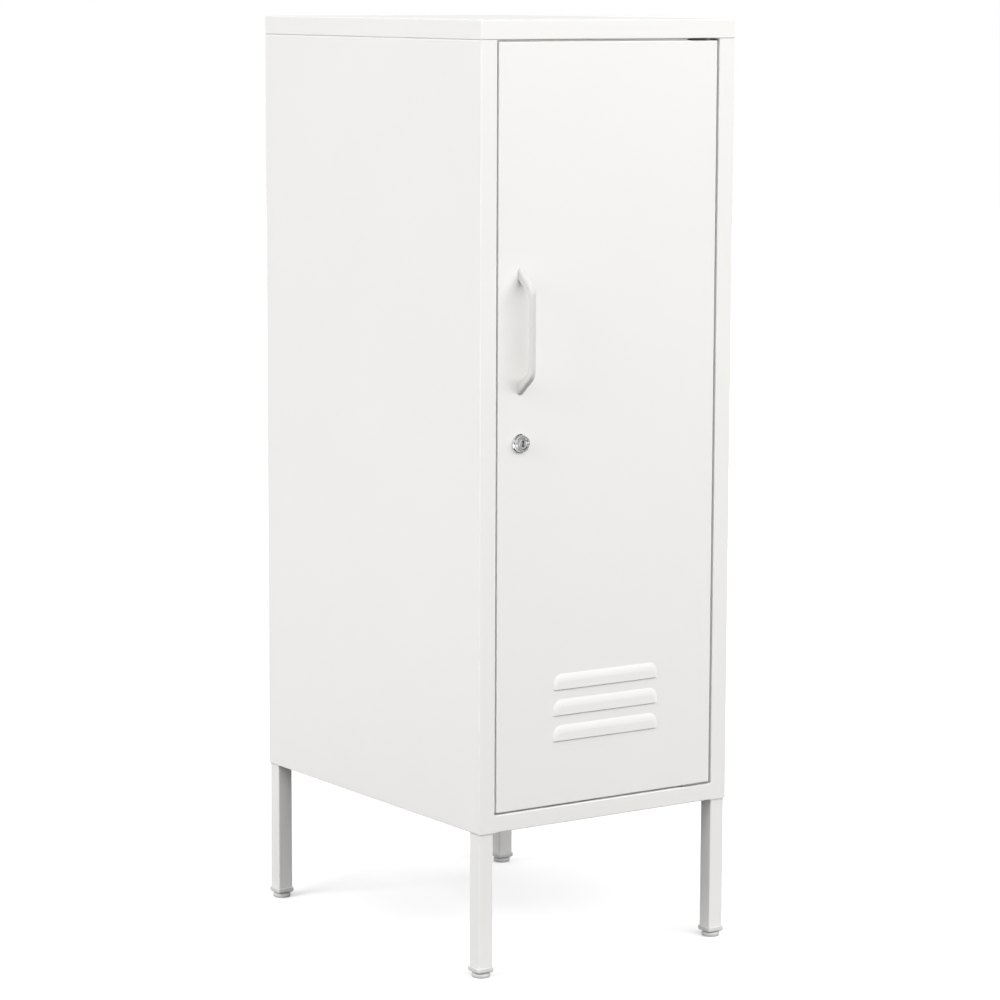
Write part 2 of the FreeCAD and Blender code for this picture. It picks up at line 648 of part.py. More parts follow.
# Screws of the cabinet
group("cap_screws", [
    screw(f"cap_screw_{index}", "Z", (*spot, "body_top - sheet"), "screw_head", "2 * sheet")
    for index, spot in enumerate(cap_screw_spots)])
back_screw_steps = range(round(number("back_screw_count")))
group("back_screws", [
    screw(f"back_screw_{hand}_{step}", "Y",
          (f"{sign} * back_screw_x", "back_inner", f"back_screw_z + {step} * back_screw_pitch"),
          "screw_head", "2 * sheet")
    for hand, sign in (("left", -1), ("right", 1))
    for step in back_screw_steps])


def rail_screw(hand, sign):
    """Screw that holds the rail to a stile, with its head inside the rail."""
    body = new_body(f"rail_screw_{hand}", ("0", "front + jamb_depth / 2", "leg_height + rail / 2"))
    seat = f"{sign} * ({floor_neck} - sheet)"
    pad(body, circle(body, "YZ_Plane", seat, ("0", "0"), "screw_radius"), "2 * sheet + fit", sign)
    pad(body, circle(body, "YZ_Plane", seat, ("0", "0"), "screw_radius + screw_head"), "screw_head", -sign)
    return body


group("rail_screws", [rail_screw(hand, sign) for hand, sign in (("left", -1), ("right", 1))])

# Door skin: a folded pan with three pressed louvres, the lock and handle holes and the hinge holes
door_skin = new_body("door_skin")
folded_tray(door_skin, "XZ_Plane", (("door_left", "door_right"), ("door_bottom", "door_top")),
            "front", "door_depth", 1, "door_return")
soften(door_skin, "bend_outer", box_edges(
    ("x", "door_left"), ("x", "door_right"), ("y", "front"), ("y", "door_back"),
    ("z", "door_bottom"), ("z", "door_top")))
bore(door_skin, "XY_Plane", "door_top", ("hinge_x", "hinge_y"), "bush_radius + play", "sheet", -1)
bore(door_skin, "XY_Plane", "door_bottom", ("hinge_x", "hinge_y"), "bush_radius + play", "sheet", 1)
bore(door_skin, "XZ_Plane", "front", ("pull_x", "lock_level"), "lock_barrel + play", "sheet", 1)
for sign in (-1, 1):
    bore(door_skin, "XZ_Plane", "front", ("pull_x", f"handle_level + {sign} * handle_centres / 2"),
         "screw_radius + play", "sheet", 1)


def hood(at, inset, drop, curve, shrink):
    """Section of a louvre, drawn in from its ends and its top."""
    half, curve = f"(louvre_width / 2 - {inset} - {shrink})", f"({curve} - {shrink})"
    low, top = "louvre_level", f"louvre_level + louvre_height - {drop} - {shrink}"
    left, right = f"door_middle - {half}", f"door_middle + {half}"
    return outline(door_skin, "XZ_Plane", at, [
        (left, low), (right, low),
        (right, f"{top} - {curve}", curve), (f"{right} - {curve}", top),
        (f"{left} + {curve}", top, curve), (left, f"{top} - {curve}")])


def louvre(kind, shrink):
    """Adds or cuts a louvre's form, lofted through its sections; shrink leaves the sheet between them."""
    sections = [
        hood(f"front + {shrink}", "0", "0", "louvre_round", shrink),
        hood(f"front + {shrink} - shoulder_reach", "shoulder_inset", "shoulder_drop", "shoulder_round", shrink),
        hood(f"front + {shrink} - louvre_reach", "brow_inset", "brow_drop", "brow_round", shrink),
    ]
    feature = door_skin.newObject(f"PartDesign::{kind}", f"door_skin_{kind}")
    feature.Profile = sections[0]
    feature.Sections = sections[1:]
    doc.recompute()
    return feature


outer_form = louvre("AdditiveLoft", "0")
inner_form = louvre("SubtractiveLoft", "sheet")
repeat(door_skin, [outer_form, inner_form], "Z_Axis", "louvre_pitch", "louvre_count")
pieces.append(door_skin)

# Door stiffener: a hat channel behind the upper part of the skin
door_stiffener = new_body("door_stiffener")
crown, wing = "rib_width / 2", "rib_width / 2 + rib_flange"
hat = [
    (f"-({wing})", "0"), (f"sheet - {crown}", "0"), (f"sheet - {crown}", "rib_depth - sheet"),
    (f"{crown} - sheet", "rib_depth - sheet"), (f"{crown} - sheet", "0"), (wing, "0"),
    (wing, "sheet"), (crown, "sheet"), (crown, "rib_depth"),
    (f"-({crown})", "rib_depth"), (f"-({crown})", "sheet"), (f"-({wing})", "sheet"),
]
hat = [(f"door_middle + {across}", f"rib_y + {deep}") for across, deep in hat]
pad(door_stiffener, outline(door_stiffener, "XY_Plane", "louvre_top + rib_end", hat),
    "door_top - louvre_top - 2 * rib_end", 1)
pieces.append(door_stiffener)


def hinge_bush(label, level, sense):
    """Plate on the end of the door with a bush that runs on the hinge pin; sense points out of the door."""
    body = new_body(label)
    half = "hinge_setback - fit"
    plate = rect("hinge_x - bush_length", "door_right - bend_outer", f"hinge_y - {half}", f"hinge_y + {half}")
    pad(body, outline(body, "XY_Plane", level, plate), "bush_plate", sense)
    pad(body, circle(body, "XY_Plane", level, ("hinge_x", "hinge_y"), "bush_radius"), "bush_depth", -sense)
    bore(body, "XY_Plane", f"{level} + {sense} * bush_plate", ("hinge_x", "hinge_y"),
         "pin_radius + play", "bush_plate + bush_depth", -sense)
    pieces.append(body)
    return body


upper_bush = hinge_bush("hinge_bush_upper", "door_top", 1)
hinge_bush("hinge_bush_lower", "door_bottom", -1)
pin_collar_edge = "pin_radius + pin_shoulder"
notch_half = f"({pin_collar_edge} + fit)"
notch = rect(f"hinge_x - {notch_half}", f"hinge_x + {notch_half}", "front", f"hinge_y + {notch_half}")
pocket(upper_bush, outline(upper_bush, "XY_Plane", "door_top + bush_plate", notch), "bush_plate", -1)

# Hinge pins: headed inside the cap and under the floor; the lower one carries the door on a collar,
# and the upper one's collar fills the gap above the door
pin_end, pin_rim = "door_gap + pin_engage", "pin_radius + pin_head"
pin_drop = "thrust_play - door_gap"
pieces.append(turned("hinge_pin_upper", "Z", ("hinge_x", "hinge_y", "body_top"), [
    ("0", f"-({pin_end})"), ("pin_radius", f"-({pin_end})"), ("pin_radius", pin_drop), (pin_collar_edge, pin_drop),
    (pin_collar_edge, "0"), ("pin_radius", "0"), ("pin_radius", "sheet"), (pin_rim, "sheet"),
    (pin_rim, "sheet + pin_head"), ("0", "sheet + pin_head")]))
pieces.append(turned("hinge_pin_lower", "Z", ("hinge_x", "hinge_y", "floor_top"), [
    ("0", "-sheet - pin_head"), (pin_rim, "-sheet - pin_head"), (pin_rim, "-sheet"), ("pin_radius", "-sheet"),
    ("pin_radius", "0"), (pin_rim, "0"), (pin_rim, "pin_collar"), ("pin_radius", "pin_collar"),
    ("pin_radius", pin_end), ("0", pin_end)]))

# Rubber buffers on the stop behind the door's free edge
group("door_buffers", [
    turned(f"door_buffer_{name}", "Y", ("-jamb_x + strike_lip / 2", "strike_face", level), [
        ("-buffer", "0"), ("0", "0"), ("0", "buffer_radius"), ("-buffer", "buffer_radius")])
    for name, level in (("upper", "door_top - buffer_inset"), ("lower", "door_bottom + buffer_inset"))])

# Handle: a bow cut from its side view, with rounded bends and edges
handle = new_body("handle")
foot_end, foot_start = "handle_length / 2", "handle_length / 2 - handle_foot"
bow = [
    ("front", f"-({foot_end})"), ("front", f"-({foot_start})"), ("handle_in", "-handle_inner"),
    ("handle_in", "handle_inner"), ("front", foot_start), ("front", foot_end),
    ("handle_out", "handle_grip / 2"), ("handle_out", "-handle_grip / 2"),
]
bow = [(out, f"handle_level + {along}") for out, along in bow]
pad(handle, outline(handle, "YZ_Plane", "pull_x - handle_width / 2", bow), "handle_width", 1)
for plane, reach, radius in (
        ("handle_out", "handle_grip / 2", "handle_bend"),
        ("handle_in", "handle_inner", "handle_crook")):
    soften(handle, radius, on_lines(
        *[(("y", plane), ("z", f"handle_level + {sign} * {reach}")) for sign in (-1, 1)]))
flanks = [number(f"pull_x + {sign} * handle_width / 2") for sign in (-1, 1)]
door_face = number("front")
soften(handle, "handle_round", lambda edge: not lies_on(edge, 1, door_face) and any(
    lies_on(edge, 0, flank) for flank in flanks))
for sign in (-1, 1):
    bore(handle, "XZ_Plane", "front", ("pull_x", f"handle_level + {sign} * handle_centres / 2"),
         "screw_radius + play", "handle_thread + fit", -1)
pieces.append(handle)
group("handle_screws", [
    screw(f"handle_screw_{name}", "Y", ("pull_x", "front + sheet", f"handle_level + {sign} * handle_centres / 2"),
          "screw_head", "sheet + handle_thread", -1)
    for name, sign in (("upper", 1), ("lower", -1))])

# Cam lock: barrel and nut on the door, and the plug that turns the cam
lock_spot = ("pull_x", "front", "lock_level")
barrel_end = "cam_front - 2 * fit"
lock_bore = "lock_plug + play"
lock_body = turned("lock_body", "Y", lock_spot, [
    ("-lock_reach", lock_bore), (barrel_end, lock_bore), (barrel_end, "lock_barrel"), ("0", "lock_barrel"),
    ("0", "lock_flange"), ("-lock_rim", "lock_flange"), ("-lock_rim - lock_taper", "lock_ring"),
    ("lock_bevel - lock_reach", "lock_ring"), ("-lock_reach", "lock_ring - lock_bevel")])
pieces.append(lock_body)

lock_nut = new_body("lock_nut", lock_spot)
hexagon = [
    (f"lock_nut / cos(30 deg) * cos({turn} deg)", f"lock_nut / cos(30 deg) * sin({turn} deg)")
    for turn in range(0, 360, 60)
]
pad(lock_nut, outline(lock_nut, "XZ_Plane", "sheet", hexagon), "nut_height", 1)
bore(lock_nut, "XZ_Plane", "sheet", ("0", "0"), "lock_barrel + play", "nut_height", 1)
pieces.append(lock_nut)

plug_face = "plug_recess - lock_reach"
lock_plug = turned("lock_plug", "Y", lock_spot, [
    (plug_face, "0"), ("cam_front", "0"), ("cam_front", "lock_plug"), (plug_face, "lock_plug")])
driver = square("cam_square / 2")
pad(lock_plug, outline(lock_plug, "XZ_Plane", "cam_front", driver), "cam_sheet", 1)
keyway = rect("-key_width / 2", "key_width / 2", "-key_height / 2", "key_height / 2")
pocket(lock_plug, outline(lock_plug, "XZ_Plane", plug_face, keyway), "key_depth", 1)
bore(lock_plug, "XZ_Plane", "cam_back", ("0", "0"), "screw_radius + play", "3 * cam_sheet + fit", -1)
pieces.append(lock_plug)

lock_cam = new_body("lock_cam", lock_spot)
half_cam, cam_turn = "cam_width / 2", "cam_width / 2 - cam_reach"
cam_form = [
    (half_cam, cam_turn), (half_cam, "0", half_cam), ("0", half_cam, half_cam), (f"-({half_cam})", "0"),
    (f"-({half_cam})", cam_turn, half_cam), ("0", "-cam_reach", half_cam),
]
pad(lock_cam, outline(lock_cam, "XZ_Plane", "cam_front", cam_form), "cam_sheet", 1)
pocket(lock_cam, outline(lock_cam, "XZ_Plane", "cam_front", square("cam_square / 2 + play")), "cam_sheet", 1)
pieces.append(lock_cam)
screw_rim = "cam_square / 2 + cam_cover"
pieces.append(turned("lock_cam_screw", "Y", lock_spot, [
    ("cam_back - 3 * cam_sheet", "0"), ("cam_back + screw_head", "0"), ("cam_back + screw_head", screw_rim),
    ("cam_back", screw_rim), ("cam_back", "screw_radius"), ("cam_back - 3 * cam_sheet", "screw_radius")]))

# Check every object, then write one file for each piece
doc.recompute()
for item in doc.Objects:
    if {"Invalid", "Error"} & set(item.State):
        raise RuntimeError(f"{item.Name} does not recompute: {item.State}")
os.makedirs("parts", exist_ok=True)
for piece in pieces:
    if piece.Shape.isNull() or not piece.Shape.isValid() or piece.Shape.Volume <= 0:
        raise RuntimeError(f"{piece.Label} is not a valid solid")
    piece.Shape.exportStep(f"parts/{piece.Label}.step")
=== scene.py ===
"""Looks of the mini locker: finishes for its folded steel, finer small parts, and the studio round it."""
import math

import bmesh
import bpy
from bpy.props import FloatProperty, FloatVectorProperty, IntProperty, PointerProperty
from mathutils import Matrix, Vector


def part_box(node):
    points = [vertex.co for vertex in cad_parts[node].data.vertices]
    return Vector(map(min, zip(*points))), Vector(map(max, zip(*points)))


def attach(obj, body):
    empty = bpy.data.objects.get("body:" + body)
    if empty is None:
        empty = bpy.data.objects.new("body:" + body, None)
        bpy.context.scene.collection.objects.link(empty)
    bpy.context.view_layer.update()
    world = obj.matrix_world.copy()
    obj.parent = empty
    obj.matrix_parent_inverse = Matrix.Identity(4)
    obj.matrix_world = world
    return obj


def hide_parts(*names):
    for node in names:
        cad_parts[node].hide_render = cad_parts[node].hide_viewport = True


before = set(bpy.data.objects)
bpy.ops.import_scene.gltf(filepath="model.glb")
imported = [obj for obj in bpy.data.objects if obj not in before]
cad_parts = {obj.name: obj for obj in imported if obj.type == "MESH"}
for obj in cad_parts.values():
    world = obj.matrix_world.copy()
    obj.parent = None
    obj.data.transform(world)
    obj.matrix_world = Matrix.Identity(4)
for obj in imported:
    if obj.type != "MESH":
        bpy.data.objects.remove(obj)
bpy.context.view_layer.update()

bl_info = {
    "name": "Mini locker looks",
    "version": (1, 0, 0),
    "blender": (4, 5, 0),
    "location": "3D View > Sidebar > Locker",
    "description": "Finishes, small parts and studio of the mini locker",
    "category": "Object",
}

MM = 0.001
TURN = 2 * math.pi
CORNERS = ("front_left", "front_right", "rear_left", "rear_right")
FLOAT, INTEGER, COLOUR = "NodeSocketFloat", "NodeSocketInt", "NodeSocketColor"
VECTOR, GEOMETRY, MATERIAL = "NodeSocketVector", "NodeSocketGeometry", "NodeSocketMaterial"
WHITE = (1, 1, 1, 1)

# Sizes of the CAD model that no box gives
RAIL_SEAT = 1.1 * MM
LOUVRE_REACH = 1.9 * MM
LOUVRE_LEVEL = 302 * MM
LOUVRE_ZONE = 100 * MM
CAM_SQUARE = 7 * MM

# Paint in the seams between the rail and the stiles
SEAM_REACH = 1.5 * MM
SEAM_SINK = 0.02 * MM
SEAM_DEPTH = 1.2 * MM

# Reach of the painted crease shade when it covers the whole part, in metres
EVERYWHERE = 10.0

# Sides of a hexagon, how finely round forms are divided, and the angle from which an edge stays sharp
HEX_SIDES = 6
ROUND_SIDES = 32
FINE_SIDES = 64
NUT_SIDES = 72
LOCK_SIDES = 96
THREAD_STEPS = 24
CORNER_STEPS = 6
ROUNDING_STEPS = 5
SHARP_DEGREES = 32

# Distance within which points become one, in metres
MERGE_REACH = 1e-6

# Screws and bolts: the tip's share of the shank's radius, and shares of a bolt's head
TIP_SHARE = 0.85
WASHER_SHARE = 0.15
WASHER_SINK = 0.07
HEAD_SHARE = 0.97

# Gap between a bore and what turns or screws in it
PLAY = 0.05 * MM

# The ripple's share of the coat's relief, and the ring distance of Blender's wave texture at scale 1
PEEL_SHARE = 0.75
WAVE_PERIOD = 0.31

# Camera: width of its sensor, in millimetres, and how far it sees, in metres
SENSOR_WIDTH = 36.0
CLIP_END = 50.0

# Lamps: place and size, in metres, and the point that they are aimed at
LAMPS = {
    "side": ((-4.2, 0.0, 2.6), (3.0, 2.2)),
    "front": ((0.6, -3.2, 2.0), (5.0, 1.5)),
    "rear": ((2.3, 2.2, 2.2), (2.2, 2.2)),
}
LAMP_TARGET = Vector((0, 0, 0.6))

# Cards: glow, then the two ends of one edge and the way to the other edge, in metres
CARDS = {
    "card_above": (0.0, (-4, -4, 3.8), (4, -4, 3.8), (0, 8, 0)),
    "card_left": (0.0, (-2.7, -3.3, 0.02), (-2.7, 0.8, 0.02), (0, 0, 1.08)),
    "card_front": (0.0, (-1.0, -1.1, 0.03), (0.6, -1.1, 0.03), (0, 0.75, 0)),
    "card_lock": (0.5, (-0.08, -1.16, 0.1), (0.74, -0.59, 0.1), (0, 0, 0.85)),
}
CARD_BLACK = (0.01, 0.01, 0.01, 1)

# Sky: heights of a direction over which its light rises from the horizon, and falls to the zenith
SKY_RISE = (0.0, 0.4)
SKY_FALL = (0.5, 1.0)

# Floor: its reach and inner ring, the distances over which its brightness fades in, and its seen colour
FLOOR_REACH = 14.0
FLOOR_INNER = 0.8
FLOOR_SIDES = 48
FLOOR_FADE = (0.45, 1.5)
FLOOR_COLOUR = (0.93, 0.93, 0.93, 1)


# Sizes and colours that a user would change


def length(label, meaning, millimetres):
    """Length property, given in millimetres."""
    return FloatProperty(
        name=label, description=meaning, default=millimetres * MM, min=0, precision=5, unit="LENGTH")


def colour(label, meaning, tone):
    """Colour property."""
    return FloatVectorProperty(
        name=label, description=meaning, default=(*tone, 1), size=4, min=0, max=1, subtype="COLOR")


def share(label, meaning, value):
    """Property from 0 to 1."""
    return FloatProperty(name=label, description=meaning, default=value, min=0, max=1, subtype="FACTOR")


def power(label, meaning, watts):
    """Lamp power property."""
    return FloatProperty(name=label, description=meaning, default=watts, min=0, unit="POWER")


def angle(label, meaning, degrees):
    """Angle property, given in degrees."""
    return FloatProperty(name=label, description=meaning, default=math.radians(degrees), subtype="ANGLE")


class LockerFinishes(bpy.types.PropertyGroup):
    """Colours and surface of the locker's finishes"""

    coat: colour("Coating", "White powder coating of the cabinet, door and legs", (0.865, 0.858, 0.84))
    coat_roughness: share("Coating roughness", "Sheen of the powder coating", 0.38)
    coat_peel: length("Coating peel", "Size of the ripples in the cured coating", 2.6)
    # Share of painted shade that darkens the coat's colour in narrow creases
    coat_crease_shade: share("Painted shade in creases", "How much painted shade darkens the coat in narrow creases", 0.6)
    # The handle's colour is the white coat painted darker, as painted shade on the grip
    handle: colour("Handle", "Coating of the handle", (0.68, 0.675, 0.663))
    chrome: colour("Chrome", "Plating of the lock", (0.74, 0.745, 0.75))
    zinc: colour("Zinc", "Plating of screws, pins, clips and cam", (0.6, 0.61, 0.62))
    plug: colour("Leg plug", "Plastic of the leg plugs", (0.8, 0.792, 0.775))
    foot: colour("Foot", "Plastic of the levelling feet", (0.74, 0.732, 0.715))
    nylon: colour("Nylon", "Plastic of the upper hinge plate", (0.022, 0.022, 0.024))
    pale_nylon: colour("Pale nylon", "Plastic of the lower hinge plate", (0.34, 0.338, 0.33))
    rubber: colour("Rubber", "Buffers behind the door", (0.28, 0.28, 0.275))


class LockerFasteners(bpy.types.PropertyGroup):
    """Sizes of the screws and bolts"""

    screw_head: length("Screw head", "Radius of the small screws' heads", 4)
    screw_rise: length("Screw rise", "Height of the small screws' heads", 2)
    screw_shank: length("Screw shank", "Radius of the small screws' shanks", 2)
    recess_width: length("Recess width", "Width of the cross recess's arms", 1.05)
    recess_span: length("Recess span", "Length of the cross recess's arms", 4.4)
    recess_depth: length("Recess depth", "Depth of the cross recess", 1.15)
    bolt_head: length("Bolt head", "Radius of the leg bolts' heads", 6.5)
    bolt_rise: length("Bolt rise", "Height of the leg bolts' heads", 5)
    bolt_shank: length("Bolt shank", "Radius of the leg bolts' shanks", 4)
    back_rows: IntProperty(name="Back rows", description="Screws up each edge of the back", default=4, min=2)
    seed: IntProperty(name="Seed", description="Chooses how far each screw is turned", default=7)


class LockerFeet(bpy.types.PropertyGroup):
    """Sizes of the leg plugs and levelling feet"""

    disc_height: length("Disc height", "Height of a foot's disc", 6)
    disc_round: length("Disc rounding", "Rounding of a foot's disc", 1.7)
    stud_crest: length("Stud radius", "Radius of a foot's stud over its thread", 4)
    thread_depth: length("Thread depth", "Depth of the stud's thread", 0.55)
    thread_pitch: length("Thread pitch", "Pitch of the stud's thread", 1.25)
    lip_height: length("Lip height", "Height of a plug below its tube", 5.7)
    lip_round: length("Lip rounding", "Rounding of a plug's lower edge", 1.7)
    shank_half: length("Shank", "Half the side of a plug inside its tube", 8.25)


class LockerLock(bpy.types.PropertyGroup):
    """Sizes of the cam lock"""

    flange_rim: length("Flange rim", "Thickness of the lock's flange", 1.4)
    ring: length("Ring", "Radius of the lock's front ring", 9.2)
    bore: length("Bore", "Radius of the bore for the plug", 6.05)
    barrel: length("Barrel", "Radius of the barrel over its thread", 8)
    thread_depth: length("Thread depth", "Depth of the barrel's thread", 0.45)
    thread_pitch: length("Thread pitch", "Pitch of the barrel's thread", 1)
    key_width: length("Key width", "Width of the key slot", 2.2)
    key_height: length("Key height", "Height of the key slot", 7)
    key_depth: length("Key depth", "Depth of the key slot", 5)
    nut_bevel: length("Nut bevel", "Bevel of the lock nut's corners", 0.8)


class LockerStudio(bpy.types.PropertyGroup):
    """Camera, lamps and floor"""

    camera_place: FloatVectorProperty(
        name="Camera place", description="Where the camera stands", default=(-2.395, -3.504, 1.115),
        subtype="XYZ", unit="LENGTH")
    camera_heading: angle("Camera heading", "Turn of the camera from looking straight at the front", -34.36)
    camera_tilt: angle("Camera tilt", "How far the camera looks down", 8.14)
    camera_roll: angle("Camera roll", "Turn of the camera about its own line of sight", 0.22)
    camera_lens: FloatProperty(
        name="Lens", description="Focal length on a 36 mm sensor", default=130.25, min=1, unit="CAMERA")
    side_power: power("Side lamp", "Large lamp to the left", 126)
    front_power: power("Front lamp", "Large lamp in front, to the right", 102)
    rear_power: power("Rear lamp", "Lamp behind on the right", 8)
    sky: FloatProperty(name="Sky", description="Even light from above the horizon", default=1.06, min=0)
    zenith: share("Zenith", "How much of that light is left straight overhead", 0.3)
    floor_bounce: share("Floor bounce", "How much light the floor gives back", 0.06)
    floor_lift: share("Floor lift", "How far the floor near the locker is brightened for the camera", 0.25)


# Node trees


def feed(tree, source, socket):
    """Links a socket, or sets its value."""
    if isinstance(source, bpy.types.NodeSocket):
        tree.links.new(source, socket)
    else:
        socket.default_value = source


def live(sockets, label):
    """The socket of this name or number that the node's settings show."""
    if isinstance(label, int):
        return sockets[label]
    return next(socket for socket in sockets if socket.name == label and socket.enabled)


def set_inputs(tree, node, inputs):
    """Links or sets a node's inputs, by name or number."""
    for key, value in inputs.items():
        feed(tree, value, live(node.inputs, key))


def add(tree, kind, inputs=None, **settings):
    """New node with its settings, then its inputs."""
    node = tree.nodes.new(kind)
    for key, value in settings.items():
        setattr(node, key, value)
    set_inputs(tree, node, inputs or {})
    return node


def calculate(tree, operation, first, second):
    """Result of a sum on two numbers."""
    return add(tree, "ShaderNodeMath", {0: first, 1: second}, operation=operation).outputs[0]


def times(tree, first, second):
    """Product of two numbers."""
    return calculate(tree, "MULTIPLY", first, second)


def plus(tree, first, second):
    """Sum of two numbers."""
    return calculate(tree, "ADD", first, second)


def object_place(tree):
    """Place on the surface, in the object's own coordinates."""
    return add(tree, "ShaderNodeTexCoord").outputs["Object"]


def ramp(tree, value, span, low, high):
    """Smooth change from low to high while a value crosses a span."""
    return add(tree, "ShaderNodeMapRange", {
        "Value": value, "From Min": span[0], "From Max": span[1], "To Min": low, "To Max": high},
        interpolation_type="SMOOTHSTEP").outputs["Result"]


def spread(tree, value, low, high):
    """Value from 0 to 1, brought to a range."""
    return add(tree, "ShaderNodeMapRange", {"Value": value, "To Min": low, "To Max": high}).outputs["Result"]


def blend_colours(tree, factor, first, second):
    """Mix of two colours."""
    mix = add(tree, "ShaderNodeMix", {"Factor": factor, "A": first, "B": second}, data_type="RGBA")
    return live(mix.outputs, "Result")


def noise(tree, place, scale, detail):
    """Noise value at a place."""
    return add(tree, "ShaderNodeTexNoise", {"Vector": place, "Scale": scale, "Detail": detail}).outputs["Fac"]


def per(tree, size):
    """How often a size fits into one metre."""
    return calculate(tree, "DIVIDE", 1.0, size)


def new_group(name, kind, inputs, outputs):
    """Empty node group with its sockets, and its entry and exit nodes."""
    tree = bpy.data.node_groups.new(name, kind)
    for label, socket_type, default in inputs:
        socket = tree.interface.new_socket(label, in_out="INPUT", socket_type=socket_type)
        if default is not None:
            socket.default_value = default
    for label, socket_type in outputs:
        tree.interface.new_socket(label, in_out="OUTPUT", socket_type=socket_type)
    return tree, tree.nodes.new("NodeGroupInput").outputs, tree.nodes.new("NodeGroupOutput").inputs


SKIN = [("Colour", COLOUR), ("Roughness", FLOAT), ("Height", FLOAT)]


def close_skin(tree, given, result, tone, uneven, height):
    """Ends a skin group with its colour, its uneven roughness and its relief."""
    feed(tree, tone, result["Colour"])
    feed(tree, plus(tree, given["Roughness"], uneven), result["Roughness"])
    feed(tree, height, result["Height"])
    return tree


def coat_skin_group():
    """Powder coating: slow drift of tone, the ripple of the cured film, and its fine grain."""
    tree, given, result = new_group("Coat skin", "ShaderNodeTree", [
        ("Colour", COLOUR, WHITE), ("Tone Drift", FLOAT, 0.02), ("Roughness", FLOAT, 0.4),
        ("Roughness Drift", FLOAT, 0.08), ("Peel Size", FLOAT, 2.5 * MM),
        ("Grain Size", FLOAT, 0.5 * MM)], SKIN)
    place = object_place(tree)
    cloud = noise(tree, place, scale=7.0, detail=3.0)
    peel = noise(tree, place, scale=per(tree, given["Peel Size"]), detail=1.0)
    grain = noise(tree, place, scale=per(tree, given["Grain Size"]), detail=2.0)
    drift = times(tree, given["Tone Drift"], calculate(tree, "SUBTRACT", cloud, 0.5))
    value = plus(tree, 1.0, drift)
    tone = add(tree, "ShaderNodeHueSaturation", {"Color": given["Colour"], "Value": value}).outputs["Color"]
    sheen = times(tree, given["Roughness Drift"], calculate(tree, "SUBTRACT", grain, 0.5))
    ripple = times(tree, peel, PEEL_SHARE)
    grit = times(tree, grain, 1 - PEEL_SHARE)
    return close_skin(tree, given, result, tone, sheen, plus(tree, ripple, grit))


def moulded_grain_group():
    """Moulded plastic: the pitted grain of the mould and faint flow lines."""
    tree, given, result = new_group("Moulded grain", "ShaderNodeTree", [
        ("Colour", COLOUR, WHITE), ("Flow Colour", COLOUR, WHITE), ("Roughness", FLOAT, 0.5),
        ("Pit Size", FLOAT, 0.6 * MM), ("Flow", VECTOR, (60.0, 60.0, 220.0))], SKIN)
    place = object_place(tree)
    pits = add(tree, "ShaderNodeTexVoronoi", {
        "Vector": place, "Scale": per(tree, given["Pit Size"])}).outputs["Distance"]
    stretched = add(tree, "ShaderNodeMapping", {"Vector": place, "Scale": given["Flow"]}).outputs["Vector"]
    flow = noise(tree, stretched, scale=1.0, detail=3.0)
    tone = blend_colours(tree, flow, given["Colour"], given["Flow Colour"])
    return close_skin(tree, given, result, tone, spread(tree, pits, low=-0.05, high=0.07), pits)


def plated_metal_group():
    """Plated metal: crystal patches in the plating, and fine lines left by the tool."""
    tree, given, result = new_group("Plated metal", "ShaderNodeTree", [
        ("Colour", COLOUR, WHITE), ("Tint", COLOUR, WHITE), ("Roughness", FLOAT, 0.3),
        ("Patch Size", FLOAT, 1.5 * MM), ("Line Scale", VECTOR, (300.0, 300.0, 4000.0))], SKIN)
    place = object_place(tree)
    patch = add(tree, "ShaderNodeTexVoronoi", {
        "Vector": place, "Scale": per(tree, given["Patch Size"])}).outputs["Color"]
    patch = add(tree, "ShaderNodeSeparateColor", {"Color": patch}).outputs[0]
    drawn = add(tree, "ShaderNodeMapping", {"Vector": place, "Scale": given["Line Scale"]}).outputs["Vector"]
    lines = noise(tree, drawn, scale=1.0, detail=2.0)
    tone = blend_colours(tree, patch, given["Colour"], given["Tint"])
    cloudy = spread(tree, patch, low=-0.06, high=0.06)
    scored = spread(tree, lines, low=-0.05, high=0.05)
    return close_skin(tree, given, result, tone, plus(tree, cloudy, scored), lines)


def turned_rings_group():
    """Turned metal: fine rings round an axis along Y, and their uneven polish."""
    tree, given, result = new_group("Turned rings", "ShaderNodeTree", [
        ("Colour", COLOUR, WHITE), ("Tint", COLOUR, WHITE), ("Roughness", FLOAT, 0.1),
        ("Centre", VECTOR, (0.0, 0.0, 0.0)), ("Ring Size", FLOAT, 0.25 * MM)], SKIN)
    place = object_place(tree)
    away = add(tree, "ShaderNodeVectorMath", {
        0: place, 1: given["Centre"]}, operation="SUBTRACT").outputs["Vector"]
    rings = add(tree, "ShaderNodeTexWave", {
        "Vector": away, "Scale": calculate(tree, "DIVIDE", WAVE_PERIOD, given["Ring Size"]),
        "Distortion": 0.4, "Detail": 1.0}, wave_type="RINGS", rings_direction="Y").outputs["Fac"]
    haze = noise(tree, place, scale=260.0, detail=3.0)
    tone = blend_colours(tree, haze, given["Colour"], given["Tint"])
    return close_skin(tree, given, result, tone, spread(tree, haze, low=-0.04, high=0.06), rings)


